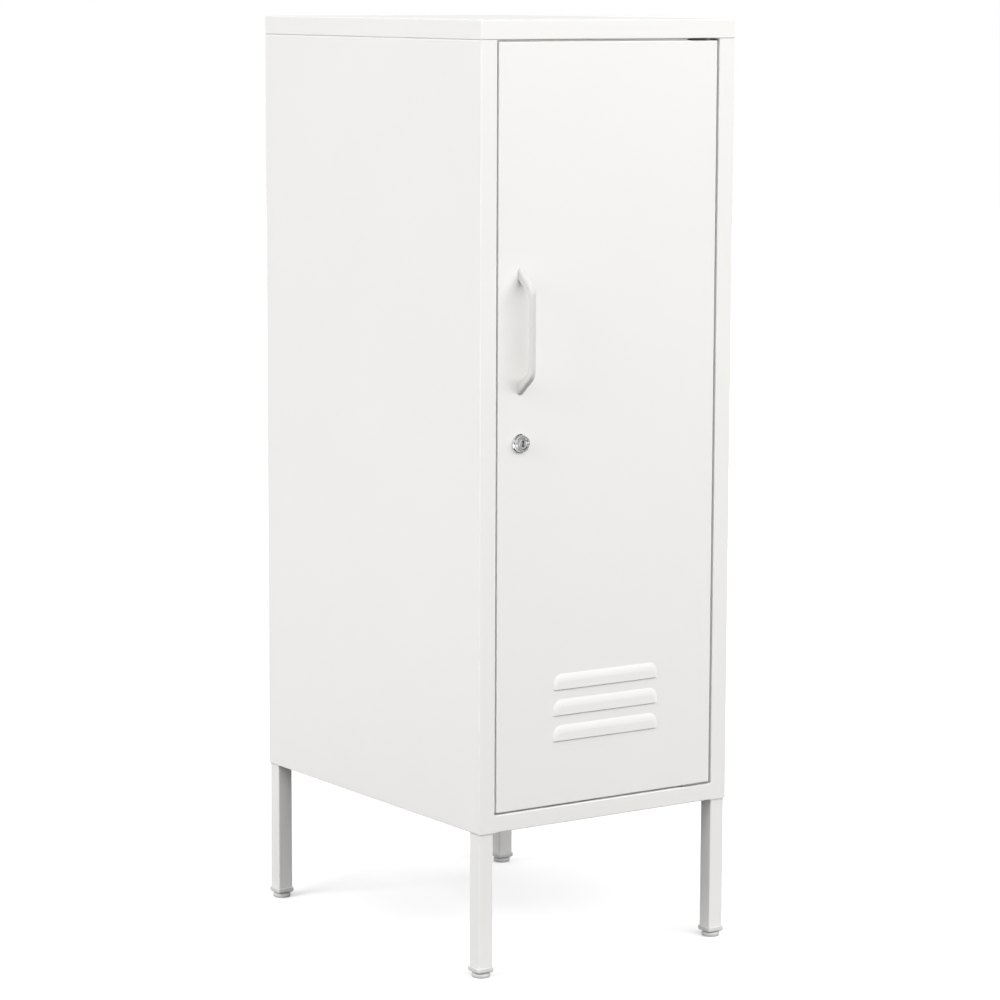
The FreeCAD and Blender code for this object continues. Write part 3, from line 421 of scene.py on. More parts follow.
def painted_crease_shade_group():
    """Painted shade: the coat's colour is darkened where ambient occlusion finds narrow creases, within a
    reach of a centre.
    """
    tree, given, result = new_group("Creases", "ShaderNodeTree", [
        ("Colour", COLOUR, WHITE), ("Share", FLOAT, 0.5), ("Depth", FLOAT, 3 * MM),
        ("Centre", VECTOR, (0.0, 0.0, 0.0)), ("Reach", FLOAT, 1.0)], [("Colour", COLOUR)])
    place = object_place(tree)
    away = add(tree, "ShaderNodeVectorMath", {
        0: place, 1: given["Centre"]}, operation="DISTANCE").outputs["Value"]
    near = calculate(tree, "LESS_THAN", away, given["Reach"])
    # Painted shade: the colour is darkened by how much the crease is occluded
    exposed = add(tree, "ShaderNodeAmbientOcclusion", {"Distance": given["Depth"]}, samples=8).outputs["AO"]
    hidden = times(tree, near, calculate(tree, "SUBTRACT", 1.0, exposed))
    value = calculate(tree, "SUBTRACT", 1.0, times(tree, given["Share"], hidden))
    tone = add(tree, "ShaderNodeHueSaturation", {"Color": given["Colour"], "Value": value})
    feed(tree, tone.outputs["Color"], result["Colour"])
    return tree


def new_material(name):
    """Material with its node tree and shader."""
    material = bpy.data.materials.new(name)
    material.use_nodes = True
    return material, material.node_tree, material.node_tree.nodes["Principled BSDF"]


def new_finish(name, group, values, metallic=0.0, bump=0.1, relief=0.05 * MM, creases=None):
    """Material with its skin from a group, and painted shade in its creases from a group and values, if
    given.
    """
    material, tree, shader = new_material(name)
    skin = add(tree, "ShaderNodeGroup", values, node_tree=group)
    colour = skin.outputs["Colour"]
    if creases:
        # Painted shade: the skin's colour is darkened in creases
        crease_shade_tree, crease_shade_values = creases
        shade_in_creases = add(tree, "ShaderNodeGroup", {"Colour": colour, **crease_shade_values}, node_tree=crease_shade_tree)
        colour = shade_in_creases.outputs["Colour"]
    normal = add(tree, "ShaderNodeBump", {
        "Strength": bump, "Distance": relief, "Height": skin.outputs["Height"]}).outputs["Normal"]
    set_inputs(tree, shader, {
        "Base Color": colour, "Roughness": skin.outputs["Roughness"], "Metallic": metallic, "Normal": normal})
    return material


def shade(tone, factor):
    """Colour made darker or lighter."""
    return (*[min(1.0, part * factor) for part in tone[:3]], 1)


# Mesh tools


def loft(rings, closed=False):
    """Mesh through rings of points with equal counts; a ring of one point is a pole."""
    shape = bmesh.new()
    loops = [[shape.verts.new(point) for point in ring] for ring in rings]
    count = max(len(loop) for loop in loops)
    pairs = list(zip(loops, loops[1:]))
    if closed:
        pairs.append((loops[-1], loops[0]))
    for lower, upper in pairs:
        for index in range(count):
            after = (index + 1) % count
            corners = (lower[index % len(lower)], lower[after % len(lower)],
                       upper[after % len(upper)], upper[index % len(upper)])
            shape.faces.new(list(dict.fromkeys(corners)))
    bmesh.ops.recalc_face_normals(shape, faces=shape.faces)
    return shape


def round_ring(radius, height, count):
    """Circle of points about Z, or a pole."""
    if radius == 0:
        return [(0, 0, height)]
    return [(radius * math.cos(TURN * step / count), radius * math.sin(TURN * step / count), height)
            for step in range(count)]


def square_ring(half, corner, height, arc_steps):
    """Rounded square of points about Z."""
    points = []
    for quarter in range(4):
        for step in range(arc_steps + 1):
            turn = TURN / 4 * (quarter + step / arc_steps)
            middle = TURN / 4 * quarter + TURN / 8
            reach = (half - corner) * math.sqrt(2)
            points.append((reach * math.cos(middle) + corner * math.cos(turn),
                           reach * math.sin(middle) + corner * math.sin(turn), height))
    return points


def circle_like(ring, radius, height):
    """Circle of points in the directions of another ring's points."""
    return [(radius * x / math.hypot(x, y), radius * y / math.hypot(x, y), height) for x, y, z in ring]


def eased(points):
    """Path of (radius, height, rounding) points with its corners rounded."""
    path = []
    for index, (radius, height, rounding) in enumerate(points):
        here = Vector((radius, height))
        if rounding == 0:
            path.append(tuple(here))
            continue
        back = (Vector(points[index - 1][:2]) - here).normalized()
        ahead = (Vector(points[(index + 1) % len(points)][:2]) - here).normalized()
        half = back.angle(ahead) / 2
        reach = rounding / math.tan(half)
        middle = here + (back + ahead).normalized() * (rounding / math.sin(half))
        first = here + back * reach - middle
        last = here + ahead * reach - middle
        for step in range(ROUNDING_STEPS + 1):
            path.append(tuple(middle + first.slerp(last, step / ROUNDING_STEPS) * rounding))
    return path


def lathe(points, count, closed=False):
    """Mesh turned about Z from (radius, height, rounding) points."""
    return loft([round_ring(radius, height, count) for radius, height in eased(points)], closed)


def put_in_scene(name, data):
    """New object with this data, at the origin."""
    thing = bpy.data.objects.new(name, data)
    bpy.context.scene.collection.objects.link(thing)
    return thing


def new_piece(name, shape, *coatings):
    """Object made from a bmesh, with its finishes."""
    mesh = bpy.data.meshes.new(name)
    shape.to_mesh(mesh)
    shape.free()
    for coating in coatings:
        mesh.materials.append(finish(coating))
    return put_in_scene(name, mesh)


def soften_shading(piece):
    """Smooth shading with sharp edges kept."""
    piece.data.shade_smooth()
    piece.data.set_sharp_from_angle(angle=math.radians(SHARP_DEGREES))


def settle(piece, body, slot, *nodes):
    """Piece rides on its body and stands for its CAD nodes; the slot is not used."""
    soften_shading(piece)
    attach(piece, body)
    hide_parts(*nodes)


def bake_modifiers(piece):
    """Turns the piece with its modifiers into a plain mesh."""
    depsgraph = bpy.context.evaluated_depsgraph_get()
    mesh = bpy.data.meshes.new_from_object(piece.evaluated_get(depsgraph), depsgraph=depsgraph)
    piece.modifiers.clear()
    spare = piece.data
    piece.data = mesh
    bpy.data.meshes.remove(spare)
    mesh.name = piece.name
    if not mesh.polygons:
        raise RuntimeError(f"{piece.name} came out empty")


def grow(piece, tree, values):
    """Runs a geometry tree on a piece with these inputs, and keeps the result as its mesh."""
    modifier = piece.modifiers.new(tree.name, "NODES")
    modifier.node_group = tree
    for item in tree.interface.items_tree:
        if item.item_type == "SOCKET" and item.in_out == "INPUT" and item.name in values:
            modifier[item.identifier] = values[item.name]
    bake_modifiers(piece)
    piece.data.materials.clear()
    piece.data.materials.append(values["Material"])
    for face in piece.data.polygons:
        face.material_index = 0


def cut(piece, cutter):
    """Takes one piece's form out of another, then removes it."""
    modifier = piece.modifiers.new("Cut", "BOOLEAN")
    modifier.operation = "DIFFERENCE"
    modifier.solver = "EXACT"
    modifier.object = cutter
    bake_modifiers(piece)
    bpy.data.objects.remove(cutter)


# Geometry trees


def geometry_group(name, inputs):
    """Geometry tree with its sizes as named inputs."""
    sockets = [("Geometry", GEOMETRY, None), *inputs, ("Material", MATERIAL, None)]
    return new_group(name, "GeometryNodeTree", sockets, [("Geometry", GEOMETRY)])


def close_tree(tree, given, result, geometry):
    """Ends a tree in real geometry with its material."""
    solid = add(tree, "GeometryNodeRealizeInstances", {"Geometry": geometry}).outputs["Geometry"]
    coated = add(tree, "GeometryNodeSetMaterial", {"Geometry": solid, "Material": given["Material"]})
    feed(tree, coated.outputs["Geometry"], result["Geometry"])


def together(tree, *parts):
    """Joined geometry."""
    node = add(tree, "GeometryNodeJoinGeometry")
    for part in parts:
        tree.links.new(part, node.inputs[0])
    return node.outputs["Geometry"]


def drawn_up(tree, sides, radius, steps):
    """Closed solid drawn up from a disc in steps of (rise, spread)."""
    disc = add(tree, "GeometryNodeMeshCircle", {
        "Vertices": sides, "Radius": radius}, fill_type="NGON").outputs["Mesh"]
    base = add(tree, "GeometryNodeFlipFaces", {"Mesh": disc}).outputs["Mesh"]
    mesh, top = disc, None
    for rise, flare in steps:
        inputs = {"Mesh": mesh, "Offset Scale": rise}
        if top is not None:
            inputs["Selection"] = top
        lifted = add(tree, "GeometryNodeExtrudeMesh", inputs)
        top = lifted.outputs["Top"]
        mesh = add(tree, "GeometryNodeScaleElements", {
            "Geometry": lifted.outputs["Mesh"], "Selection": top, "Scale": flare}).outputs["Geometry"]
    whole = together(tree, mesh, base)
    merged = add(tree, "GeometryNodeMergeByDistance", {"Geometry": whole, "Distance": MERGE_REACH})
    return merged.outputs["Geometry"]


def moved(tree, geometry, offset):
    """Geometry shifted by a vector."""
    shifted = add(tree, "GeometryNodeTransform", {"Geometry": geometry, "Translation": offset})
    return shifted.outputs["Geometry"]


def upward(tree, height):
    """Vector of this height along Z."""
    return add(tree, "ShaderNodeCombineXYZ", {"Z": height}).outputs["Vector"]


def rotation(tree, angles):
    """Rotation by these angles about X, Y and Z."""
    return add(tree, "FunctionNodeEulerToRotation", {"Euler": angles}).outputs["Rotation"]


def placed(tree, points, solid, seed=None):
    """Copies of a solid on points, aimed by their attribute and each turned by chance about its axis."""
    aim = add(tree, "GeometryNodeInputNamedAttribute", {"Name": "aim"}, data_type="FLOAT_VECTOR")
    turn = rotation(tree, live(aim.outputs, "Attribute"))
    copies = add(tree, "GeometryNodeInstanceOnPoints", {
        "Points": points, "Instance": solid, "Rotation": turn}).outputs["Instances"]
    if seed is None:
        return copies
    chance = add(tree, "FunctionNodeRandomValue", {"Min": 0.0, "Max": TURN, "Seed": seed}, data_type="FLOAT")
    spin = rotation(tree, upward(tree, live(chance.outputs, "Value")))
    return add(tree, "GeometryNodeRotateInstances", {
        "Instances": copies, "Rotation": spin, "Local Space": True}).outputs["Instances"]


def on_shank(tree, given, steps):
    """Head drawn up in steps over a shank with a bevelled tip, with the head's seat at zero."""
    bevel = times(tree, given["Shank Radius"], 1 - TIP_SHARE)
    shank = [(bevel, 1 / TIP_SHARE), (calculate(tree, "SUBTRACT", given["Shank Length"], bevel), 1.0)]
    tip = times(tree, given["Shank Radius"], TIP_SHARE)
    down = upward(tree, times(tree, given["Shank Length"], -1.0))
    return moved(tree, drawn_up(tree, ROUND_SIDES, tip, shank + steps), down)


def risen(tree, height, steps):
    """Steps of (share of a height, spread) as steps of (rise, spread)."""
    return [(times(tree, height, part), flare) for part, flare in steps]


def cross_head_tree():
    """Pan head screws with a cross recess, on points."""
    tree, given, result = geometry_group("Cross head screws", [
        ("Head Radius", FLOAT, 4 * MM), ("Head Height", FLOAT, 2 * MM), ("Shank Radius", FLOAT, 2 * MM),
        ("Shank Length", FLOAT, 2 * MM), ("Recess Width", FLOAT, 1 * MM), ("Recess Span", FLOAT, 4 * MM),
        ("Recess Depth", FLOAT, 1 * MM), ("Seed", INTEGER, 0)])
    tall = given["Head Height"]
    wide = calculate(tree, "DIVIDE", given["Head Radius"], given["Shank Radius"])
    crown = [(0.0, wide), (0.42, 1.0), (0.26, 0.94), (0.18, 0.84), (0.1, 0.72), (0.04, 0.5)]
    solid = on_shank(tree, given, risen(tree, tall, crown))
    carved = add(tree, "GeometryNodeMeshBoolean", {"Mesh 1": solid}, operation="DIFFERENCE", solver="EXACT")
    deep = times(tree, given["Recess Depth"], 2.0)
    slim, span = given["Recess Width"], given["Recess Span"]
    for across, along in ((slim, span), (span, slim)):
        size = add(tree, "ShaderNodeCombineXYZ", {"X": across, "Y": along, "Z": deep}).outputs["Vector"]
        bar = add(tree, "GeometryNodeMeshCube", {"Size": size}).outputs["Mesh"]
        tree.links.new(moved(tree, bar, upward(tree, tall)), live(carved.inputs, 1))
    screws = placed(tree, given["Geometry"], carved.outputs["Mesh"], given["Seed"])
    close_tree(tree, given, result, screws)
    return tree


def hex_bolt_tree():
    """Hexagon bolts with a washer face, on points."""
    tree, given, result = geometry_group("Hexagon bolts", [
        ("Head Radius", FLOAT, 6.5 * MM), ("Head Height", FLOAT, 5 * MM), ("Shank Radius", FLOAT, 4 * MM),
        ("Shank Length", FLOAT, 4 * MM), ("Seed", INTEGER, 0)])
    tall = given["Head Height"]
    wide = calculate(tree, "DIVIDE", given["Head Radius"], given["Shank Radius"])
    shank = on_shank(tree, given, [(0.0, wide), (times(tree, tall, WASHER_SHARE), 1.0)])
    crown = times(tree, given["Head Radius"], HEAD_SHARE)
    head = drawn_up(tree, HEX_SIDES, crown, risen(tree, tall, [(0.83, 1.0), (0.1, 0.9)]))
    head = moved(tree, head, upward(tree, times(tree, tall, WASHER_SINK)))
    whole = add(tree, "GeometryNodeMeshBoolean", operation="UNION", solver="EXACT")
    for part in (shank, head):
        tree.links.new(part, live(whole.inputs, 1))
    bolts = placed(tree, given["Geometry"], whole.outputs["Mesh"], given["Seed"])
    close_tree(tree, given, result, bolts)
    return tree


def buffer_tree():
    """Domed rubber buffers, on points."""
    tree, given, result = geometry_group("Domed buffers", [
        ("Radius", FLOAT, 4 * MM), ("Height", FLOAT, 2 * MM)])
    dome = [(0.5, 1.0), (0.25, 0.95), (0.15, 0.86), (0.07, 0.76), (0.03, 0.55)]
    solid = drawn_up(tree, ROUND_SIDES, given["Radius"], risen(tree, given["Height"], dome))
    close_tree(tree, given, result, placed(tree, given["Geometry"], solid))
    return tree


def thread_tree():
    """Screw thread wound along Z round a blank, then turned and shifted with it to its place."""
    tree, given, result = geometry_group("Threads", [
        ("Crest Radius", FLOAT, 4 * MM), ("Depth", FLOAT, 0.5 * MM), ("Pitch", FLOAT, 1.25 * MM),
        ("Start", FLOAT, 0.0), ("Length", FLOAT, 20 * MM), ("Tilt", VECTOR, (0.0, 0.0, 0.0)),
        ("Place", VECTOR, (0.0, 0.0, 0.0))])
    tooth = times(tree, given["Depth"], 2 / 3)
    middle = calculate(tree, "SUBTRACT", given["Crest Radius"], tooth)
    helix = add(tree, "GeometryNodeCurveSpiral", {
        "Resolution": THREAD_STEPS, "Rotations": calculate(tree, "DIVIDE", given["Length"], given["Pitch"]),
        "Start Radius": middle, "End Radius": middle, "Height": given["Length"]}).outputs["Curve"]
    helix = add(tree, "GeometryNodeSetCurveNormal", {"Curve": helix}, mode="Z_UP").outputs["Curve"]
    section = add(tree, "GeometryNodeCurvePrimitiveCircle", {"Resolution": 3, "Radius": tooth})
    winding = add(tree, "GeometryNodeCurveToMesh", {
        "Curve": helix, "Profile Curve": section.outputs["Curve"], "Fill Caps": True}).outputs["Mesh"]
    winding = moved(tree, winding, upward(tree, given["Start"]))
    whole = add(tree, "GeometryNodeTransform", {
        "Geometry": together(tree, given["Geometry"], winding), "Translation": given["Place"],
        "Rotation": rotation(tree, given["Tilt"])})
    close_tree(tree, given, result, whole.outputs["Geometry"])
    return tree


def cached(name, make):
    """Node tree of this name, made the first time it is wanted."""
    return bpy.data.node_groups.get(name) or make()


def finish(name):
    """Material of this name; the finishes are made first."""
    if name not in bpy.data.materials:
        raise RuntimeError(f"the finish {name} is not made yet")
    return bpy.data.materials[name]


# Angles that aim the head of a screw, bolt or buffer
HEAD_UP, HEAD_DOWN = (0, 0, 0), (math.pi, 0, 0)
HEAD_FRONT, HEAD_BACK = (math.pi / 2, 0, 0), (-math.pi / 2, 0, 0)
HEAD_RIGHT, HEAD_LEFT = (0, math.pi / 2, 0), (0, -math.pi / 2, 0)


def box_of(node):
    """Low corner, high corner and middle of a CAD node's box."""
    low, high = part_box(node)
    return low, high, (low + high) / 2


def inset_corners(low, high, inset):
    """Points inside a box's four corners, seen from above."""
    return [(x, y) for x in (low.x + inset, high.x - inset) for y in (low.y + inset, high.y - inset)]


def dotted(name, spots):
    """Piece of loose points, each with the way its copy is aimed."""
    mesh = bpy.data.meshes.new(name)
    mesh.from_pydata([place for place, aim in spots], [], [])
    aims = mesh.attributes.new("aim", "FLOAT_VECTOR", "POINT")
    for index, (place, aim) in enumerate(spots):
        aims.data[index].vector = aim
    return put_in_scene(name, mesh)


# Operators


class LOCKER_OT_finishes(bpy.types.Operator):
    """Makes the finishes and puts them on the locker's sheet metal and fittings"""

    bl_idname = "locker.finishes"
    bl_label = "Finishes"

    def execute(self, context):
        look = context.scene.locker_finishes
        coat, grain = coat_skin_group(), moulded_grain_group()
        plated, rings = plated_metal_group(), turned_rings_group()
        skin = {
            "Colour": look.coat, "Tone Drift": 0.03, "Roughness": look.coat_roughness,
            "Peel Size": look.coat_peel}
        louvre_shade_centre = (0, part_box("door_skin")[0].y, LOUVRE_LEVEL)
        shade_in_creases = painted_crease_shade_group()
        new_finish("white_coat", coat, skin, bump=0.12)
        # Coats with painted shade in their creases: one all over, one round the louvres
        for name, values in (
                ("folded_coat", {"Reach": EVERYWHERE}),
                ("louvre_coat", {"Centre": louvre_shade_centre, "Reach": LOUVRE_ZONE})):
            new_finish(name, coat, skin, bump=0.12, creases=(shade_in_creases, {"Share": look.coat_crease_shade, **values}))
        # Painted shade: the coat's skin in a darker colour stands in for the handle's shade
        new_finish("handle_coat", coat, {
            "Colour": look.handle, "Tone Drift": 0.03, "Roughness": 0.3, "Peel Size": 1.8 * MM,
            "Grain Size": 0.35 * MM}, bump=0.1)
        new_finish("lock_plating", rings, {
            "Colour": look.chrome, "Tint": shade(look.chrome, 0.9), "Roughness": 0.1,
            "Centre": box_of("lock_body")[2]}, metallic=1.0, bump=0.06, relief=0.02 * MM)
        new_finish("zinc_plating", plated, {
            "Colour": look.zinc, "Tint": shade(look.zinc, 0.82), "Roughness": 0.34}, metallic=1.0, bump=0.08)
        # Painted shade: near-black plating for the key slot's walls, so the slot reads dark
        new_finish("keyway_steel", plated, {
            "Colour": shade(look.zinc, 0.12), "Tint": shade(look.zinc, 0.06), "Roughness": 0.6}, metallic=1.0)
        for name, tone, flow, roughness, bump in (
                ("plug_plastic", look.plug, 0.95, 0.46, 0.12),
                ("foot_plastic", look.foot, 0.93, 0.44, 0.12),
                ("hinge_nylon", look.nylon, 1.5, 0.5, 0.15),
                ("pale_hinge_nylon", look.pale_nylon, 0.9, 0.5, 0.15)):
            new_finish(name, grain, {
                "Colour": tone, "Flow Colour": shade(tone, flow), "Roughness": roughness}, bump=bump)
        new_finish("buffer_rubber", grain, {
            "Colour": look.rubber, "Flow Colour": shade(look.rubber, 0.8), "Roughness": 0.7,
            "Pit Size": 0.35 * MM}, bump=0.2)
        dressed = {
            "white_paint": "white_coat", "handle_paint": "handle_coat", "lock_chrome": "lock_plating",
            "zinc_steel": "zinc_plating", "plug_plastic": "plug_plastic", "foot_plastic": "foot_plastic",
            "bush_nylon": "hinge_nylon", "buffer_rubber": "buffer_rubber",
        }
        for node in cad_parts.values():
            for slot in node.material_slots:
                slot.material = finish(dressed[slot.material.name.split(".")[0]])
        # The top, the door's skin and the legs take the coats with painted crease shade
        special = {
            "top_panel": "folded_coat", "door_skin": "louvre_coat", "hinge_bush_lower": "pale_hinge_nylon"}
        for corner in CORNERS:
            special[f"leg_{corner}"] = "folded_coat"
        for name, coating in special.items():
            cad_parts[name].material_slots[0].material = finish(coating)
        return {"FINISHED"}


class LOCKER_OT_screws(bpy.types.Operator):
    """Makes the cross head screws of the top, back, rail, handle and cam"""

    bl_idname = "locker.screws"
    bl_label = "Screws"

    def execute(self, context):
        size = context.scene.locker_fasteners
        head, rise = size.screw_head, size.screw_rise
        low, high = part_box("cap_screws")
        self.make_screws(size, "cap_screws", "cabinet", head, high.z - low.z - rise, [
            ((x, y, low.z + rise), HEAD_DOWN) for x, y in inset_corners(low, high, head)])
        low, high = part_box("back_screws")
        bottom, pitch = low.z + head, (high.z - low.z - 2 * head) / (size.back_rows - 1)
        self.make_screws(size, "back_screws", "cabinet", head, high.y - low.y - rise, [
            ((x, low.y + rise, bottom + row * pitch), HEAD_FRONT)
            for x in (low.x + head, high.x - head)
            for row in range(size.back_rows)])
        low, high, middle = box_of("handle_screws")
        self.make_screws(size, "handle_screws", "door", head, high.y - low.y - rise, [
            ((middle.x, high.y - rise, z), HEAD_BACK) for z in (low.z + head, high.z - head)])
        low, high, middle = box_of("lock_cam_screw")
        self.make_screws(size, "lock_cam_screw", "lock_core", (high.x - low.x) / 2, high.y - low.y - rise, [
            ((middle.x, high.y - rise, middle.z), HEAD_BACK)])
        low, high, middle = box_of("rail_screws")
        inward = high.x - (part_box("side_panel_right")[0].x - RAIL_SEAT)
        self.make_screws(size, "rail_screws", "cabinet", head, inward, [
            ((low.x + inward, middle.y, middle.z), HEAD_RIGHT),
            ((high.x - inward, middle.y, middle.z), HEAD_LEFT)])
        return {"FINISHED"}

    @staticmethod
    def make_screws(size, node, body, radius, shank, spots):
        """The screws of one CAD node, with their heads' radius and their shanks' length."""
        piece = dotted(f"{node}_cross_head", spots)
        grow(piece, cached("Cross head screws", cross_head_tree), {
            "Head Radius": radius, "Head Height": size.screw_rise, "Shank Radius": size.screw_shank,
            "Shank Length": shank, "Recess Width": size.recess_width, "Recess Span": size.recess_span,
            "Recess Depth": size.recess_depth, "Seed": size.seed, "Material": finish("zinc_plating")})
        settle(piece, body, "zinc_steel", node)


class LOCKER_OT_leg_bolts(bpy.types.Operator):
    """Makes the hexagon bolts that hold the legs"""

    bl_idname = "locker.leg_bolts"
    bl_label = "Leg bolts"

    def execute(self, context):
        size = context.scene.locker_fasteners
        head, rise = size.bolt_head, size.bolt_rise
        low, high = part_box("leg_bolts")
        piece = dotted("leg_bolts_hexagon", [
            ((x, y, high.z - rise), HEAD_UP) for x, y in inset_corners(low, high, head)])
        grow(piece, cached("Hexagon bolts", hex_bolt_tree), {
            "Head Radius": head, "Head Height": rise, "Shank Radius": size.bolt_shank,
            "Shank Length": high.z - low.z - rise, "Seed": size.seed, "Material": finish("zinc_plating")})
        settle(piece, "cabinet", "zinc_steel", "leg_bolts")
        return {"FINISHED"}


class LOCKER_OT_feet(bpy.types.Operator):
    """Makes the leg plugs and the levelling feet with their threaded studs"""

    bl_idname = "locker.feet"
    bl_label = "Plugs and feet"

    def execute(self, context):
        size = context.scene.locker_feet
        for corner in CORNERS:
            self.make_foot(size, corner)
            self.make_plug(size, corner)
        return {"FINISHED"}

    @staticmethod
    def make_foot(size, corner):
        """Rounded disc on a stud with a wound thread."""
        node = f"levelling_foot_{corner}"
        low, high, middle = box_of(node)
        radius, top = (high.x - low.x) / 2, high.z - low.z
        root, disc = size.stud_crest - size.thread_depth, size.disc_height
        collar, bevel, margin = size.stud_crest + 2.4 * MM, 0.8 * MM, 1.2 * MM
        hollow, hollow_edge = 0.5 * MM, radius - 3.5 * MM
        blank = lathe([
            (0, hollow, 0), (hollow_edge - hollow, hollow, 0), (hollow_edge, 0, 0),
            (radius - bevel, 0, 0.7 * MM), (radius, disc - 1.6 * MM, size.disc_round),
            (collar, disc - 0.7 * MM, 0.4 * MM), (collar, disc, 0.25 * MM),
            (root, disc, 0), (root, top - bevel, 0), (root - bevel, top, 0), (0, top, 0)], FINE_SIDES)
        piece = new_piece(f"{node}_threaded", blank)
        grow(piece, cached("Threads", thread_tree), {
            "Crest Radius": size.stud_crest, "Depth": size.thread_depth, "Pitch": size.thread_pitch,
            "Start": disc + margin, "Length": top - disc - 2 * margin,
            "Place": (middle.x, middle.y, low.z), "Material": finish("foot_plastic")})
        settle(piece, node, "foot_plastic", node)

    @staticmethod
    def make_plug(size, corner):
        """Moulded plug with a rounded lip and a bore for the stud."""
        node = f"leg_plug_{corner}"
        low, high, middle = box_of(node)
        half, lip, curve = (high.x - low.x) / 2, low.z + size.lip_height, size.lip_round
        bore, mouth, edge = size.stud_crest + PLAY, 0.5 * MM, 0.4 * MM
        lip_corner, shank_corner = 2.2 * MM, 0.6 * MM
        outside = []
        for step in range(ROUNDING_STEPS + 1):
            turn = TURN / 4 * step / ROUNDING_STEPS
            outside.append((half - curve + curve * math.sin(turn), low.z + curve - curve * math.cos(turn)))
        outside += [(half, lip - edge), (half - edge, lip), (size.shank_half, lip), (size.shank_half, high.z)]
        rings = []
        for reach, height in outside:
            rounding = lip_corner if reach > size.shank_half else shank_corner
            rings.append(square_ring(reach, rounding, height, CORNER_STEPS))
        rings.append(circle_like(rings[-1], bore, high.z))
        rings.append(circle_like(rings[0], bore, low.z + mouth))
        rings.append(circle_like(rings[0], bore + mouth, low.z))
        shape = loft(rings, closed=True)
        bmesh.ops.translate(shape, verts=shape.verts, vec=(middle.x, middle.y, 0))
        piece = new_piece(f"{node}_moulded", shape, "plug_plastic")
        settle(piece, "cabinet", "plug_plastic", node)


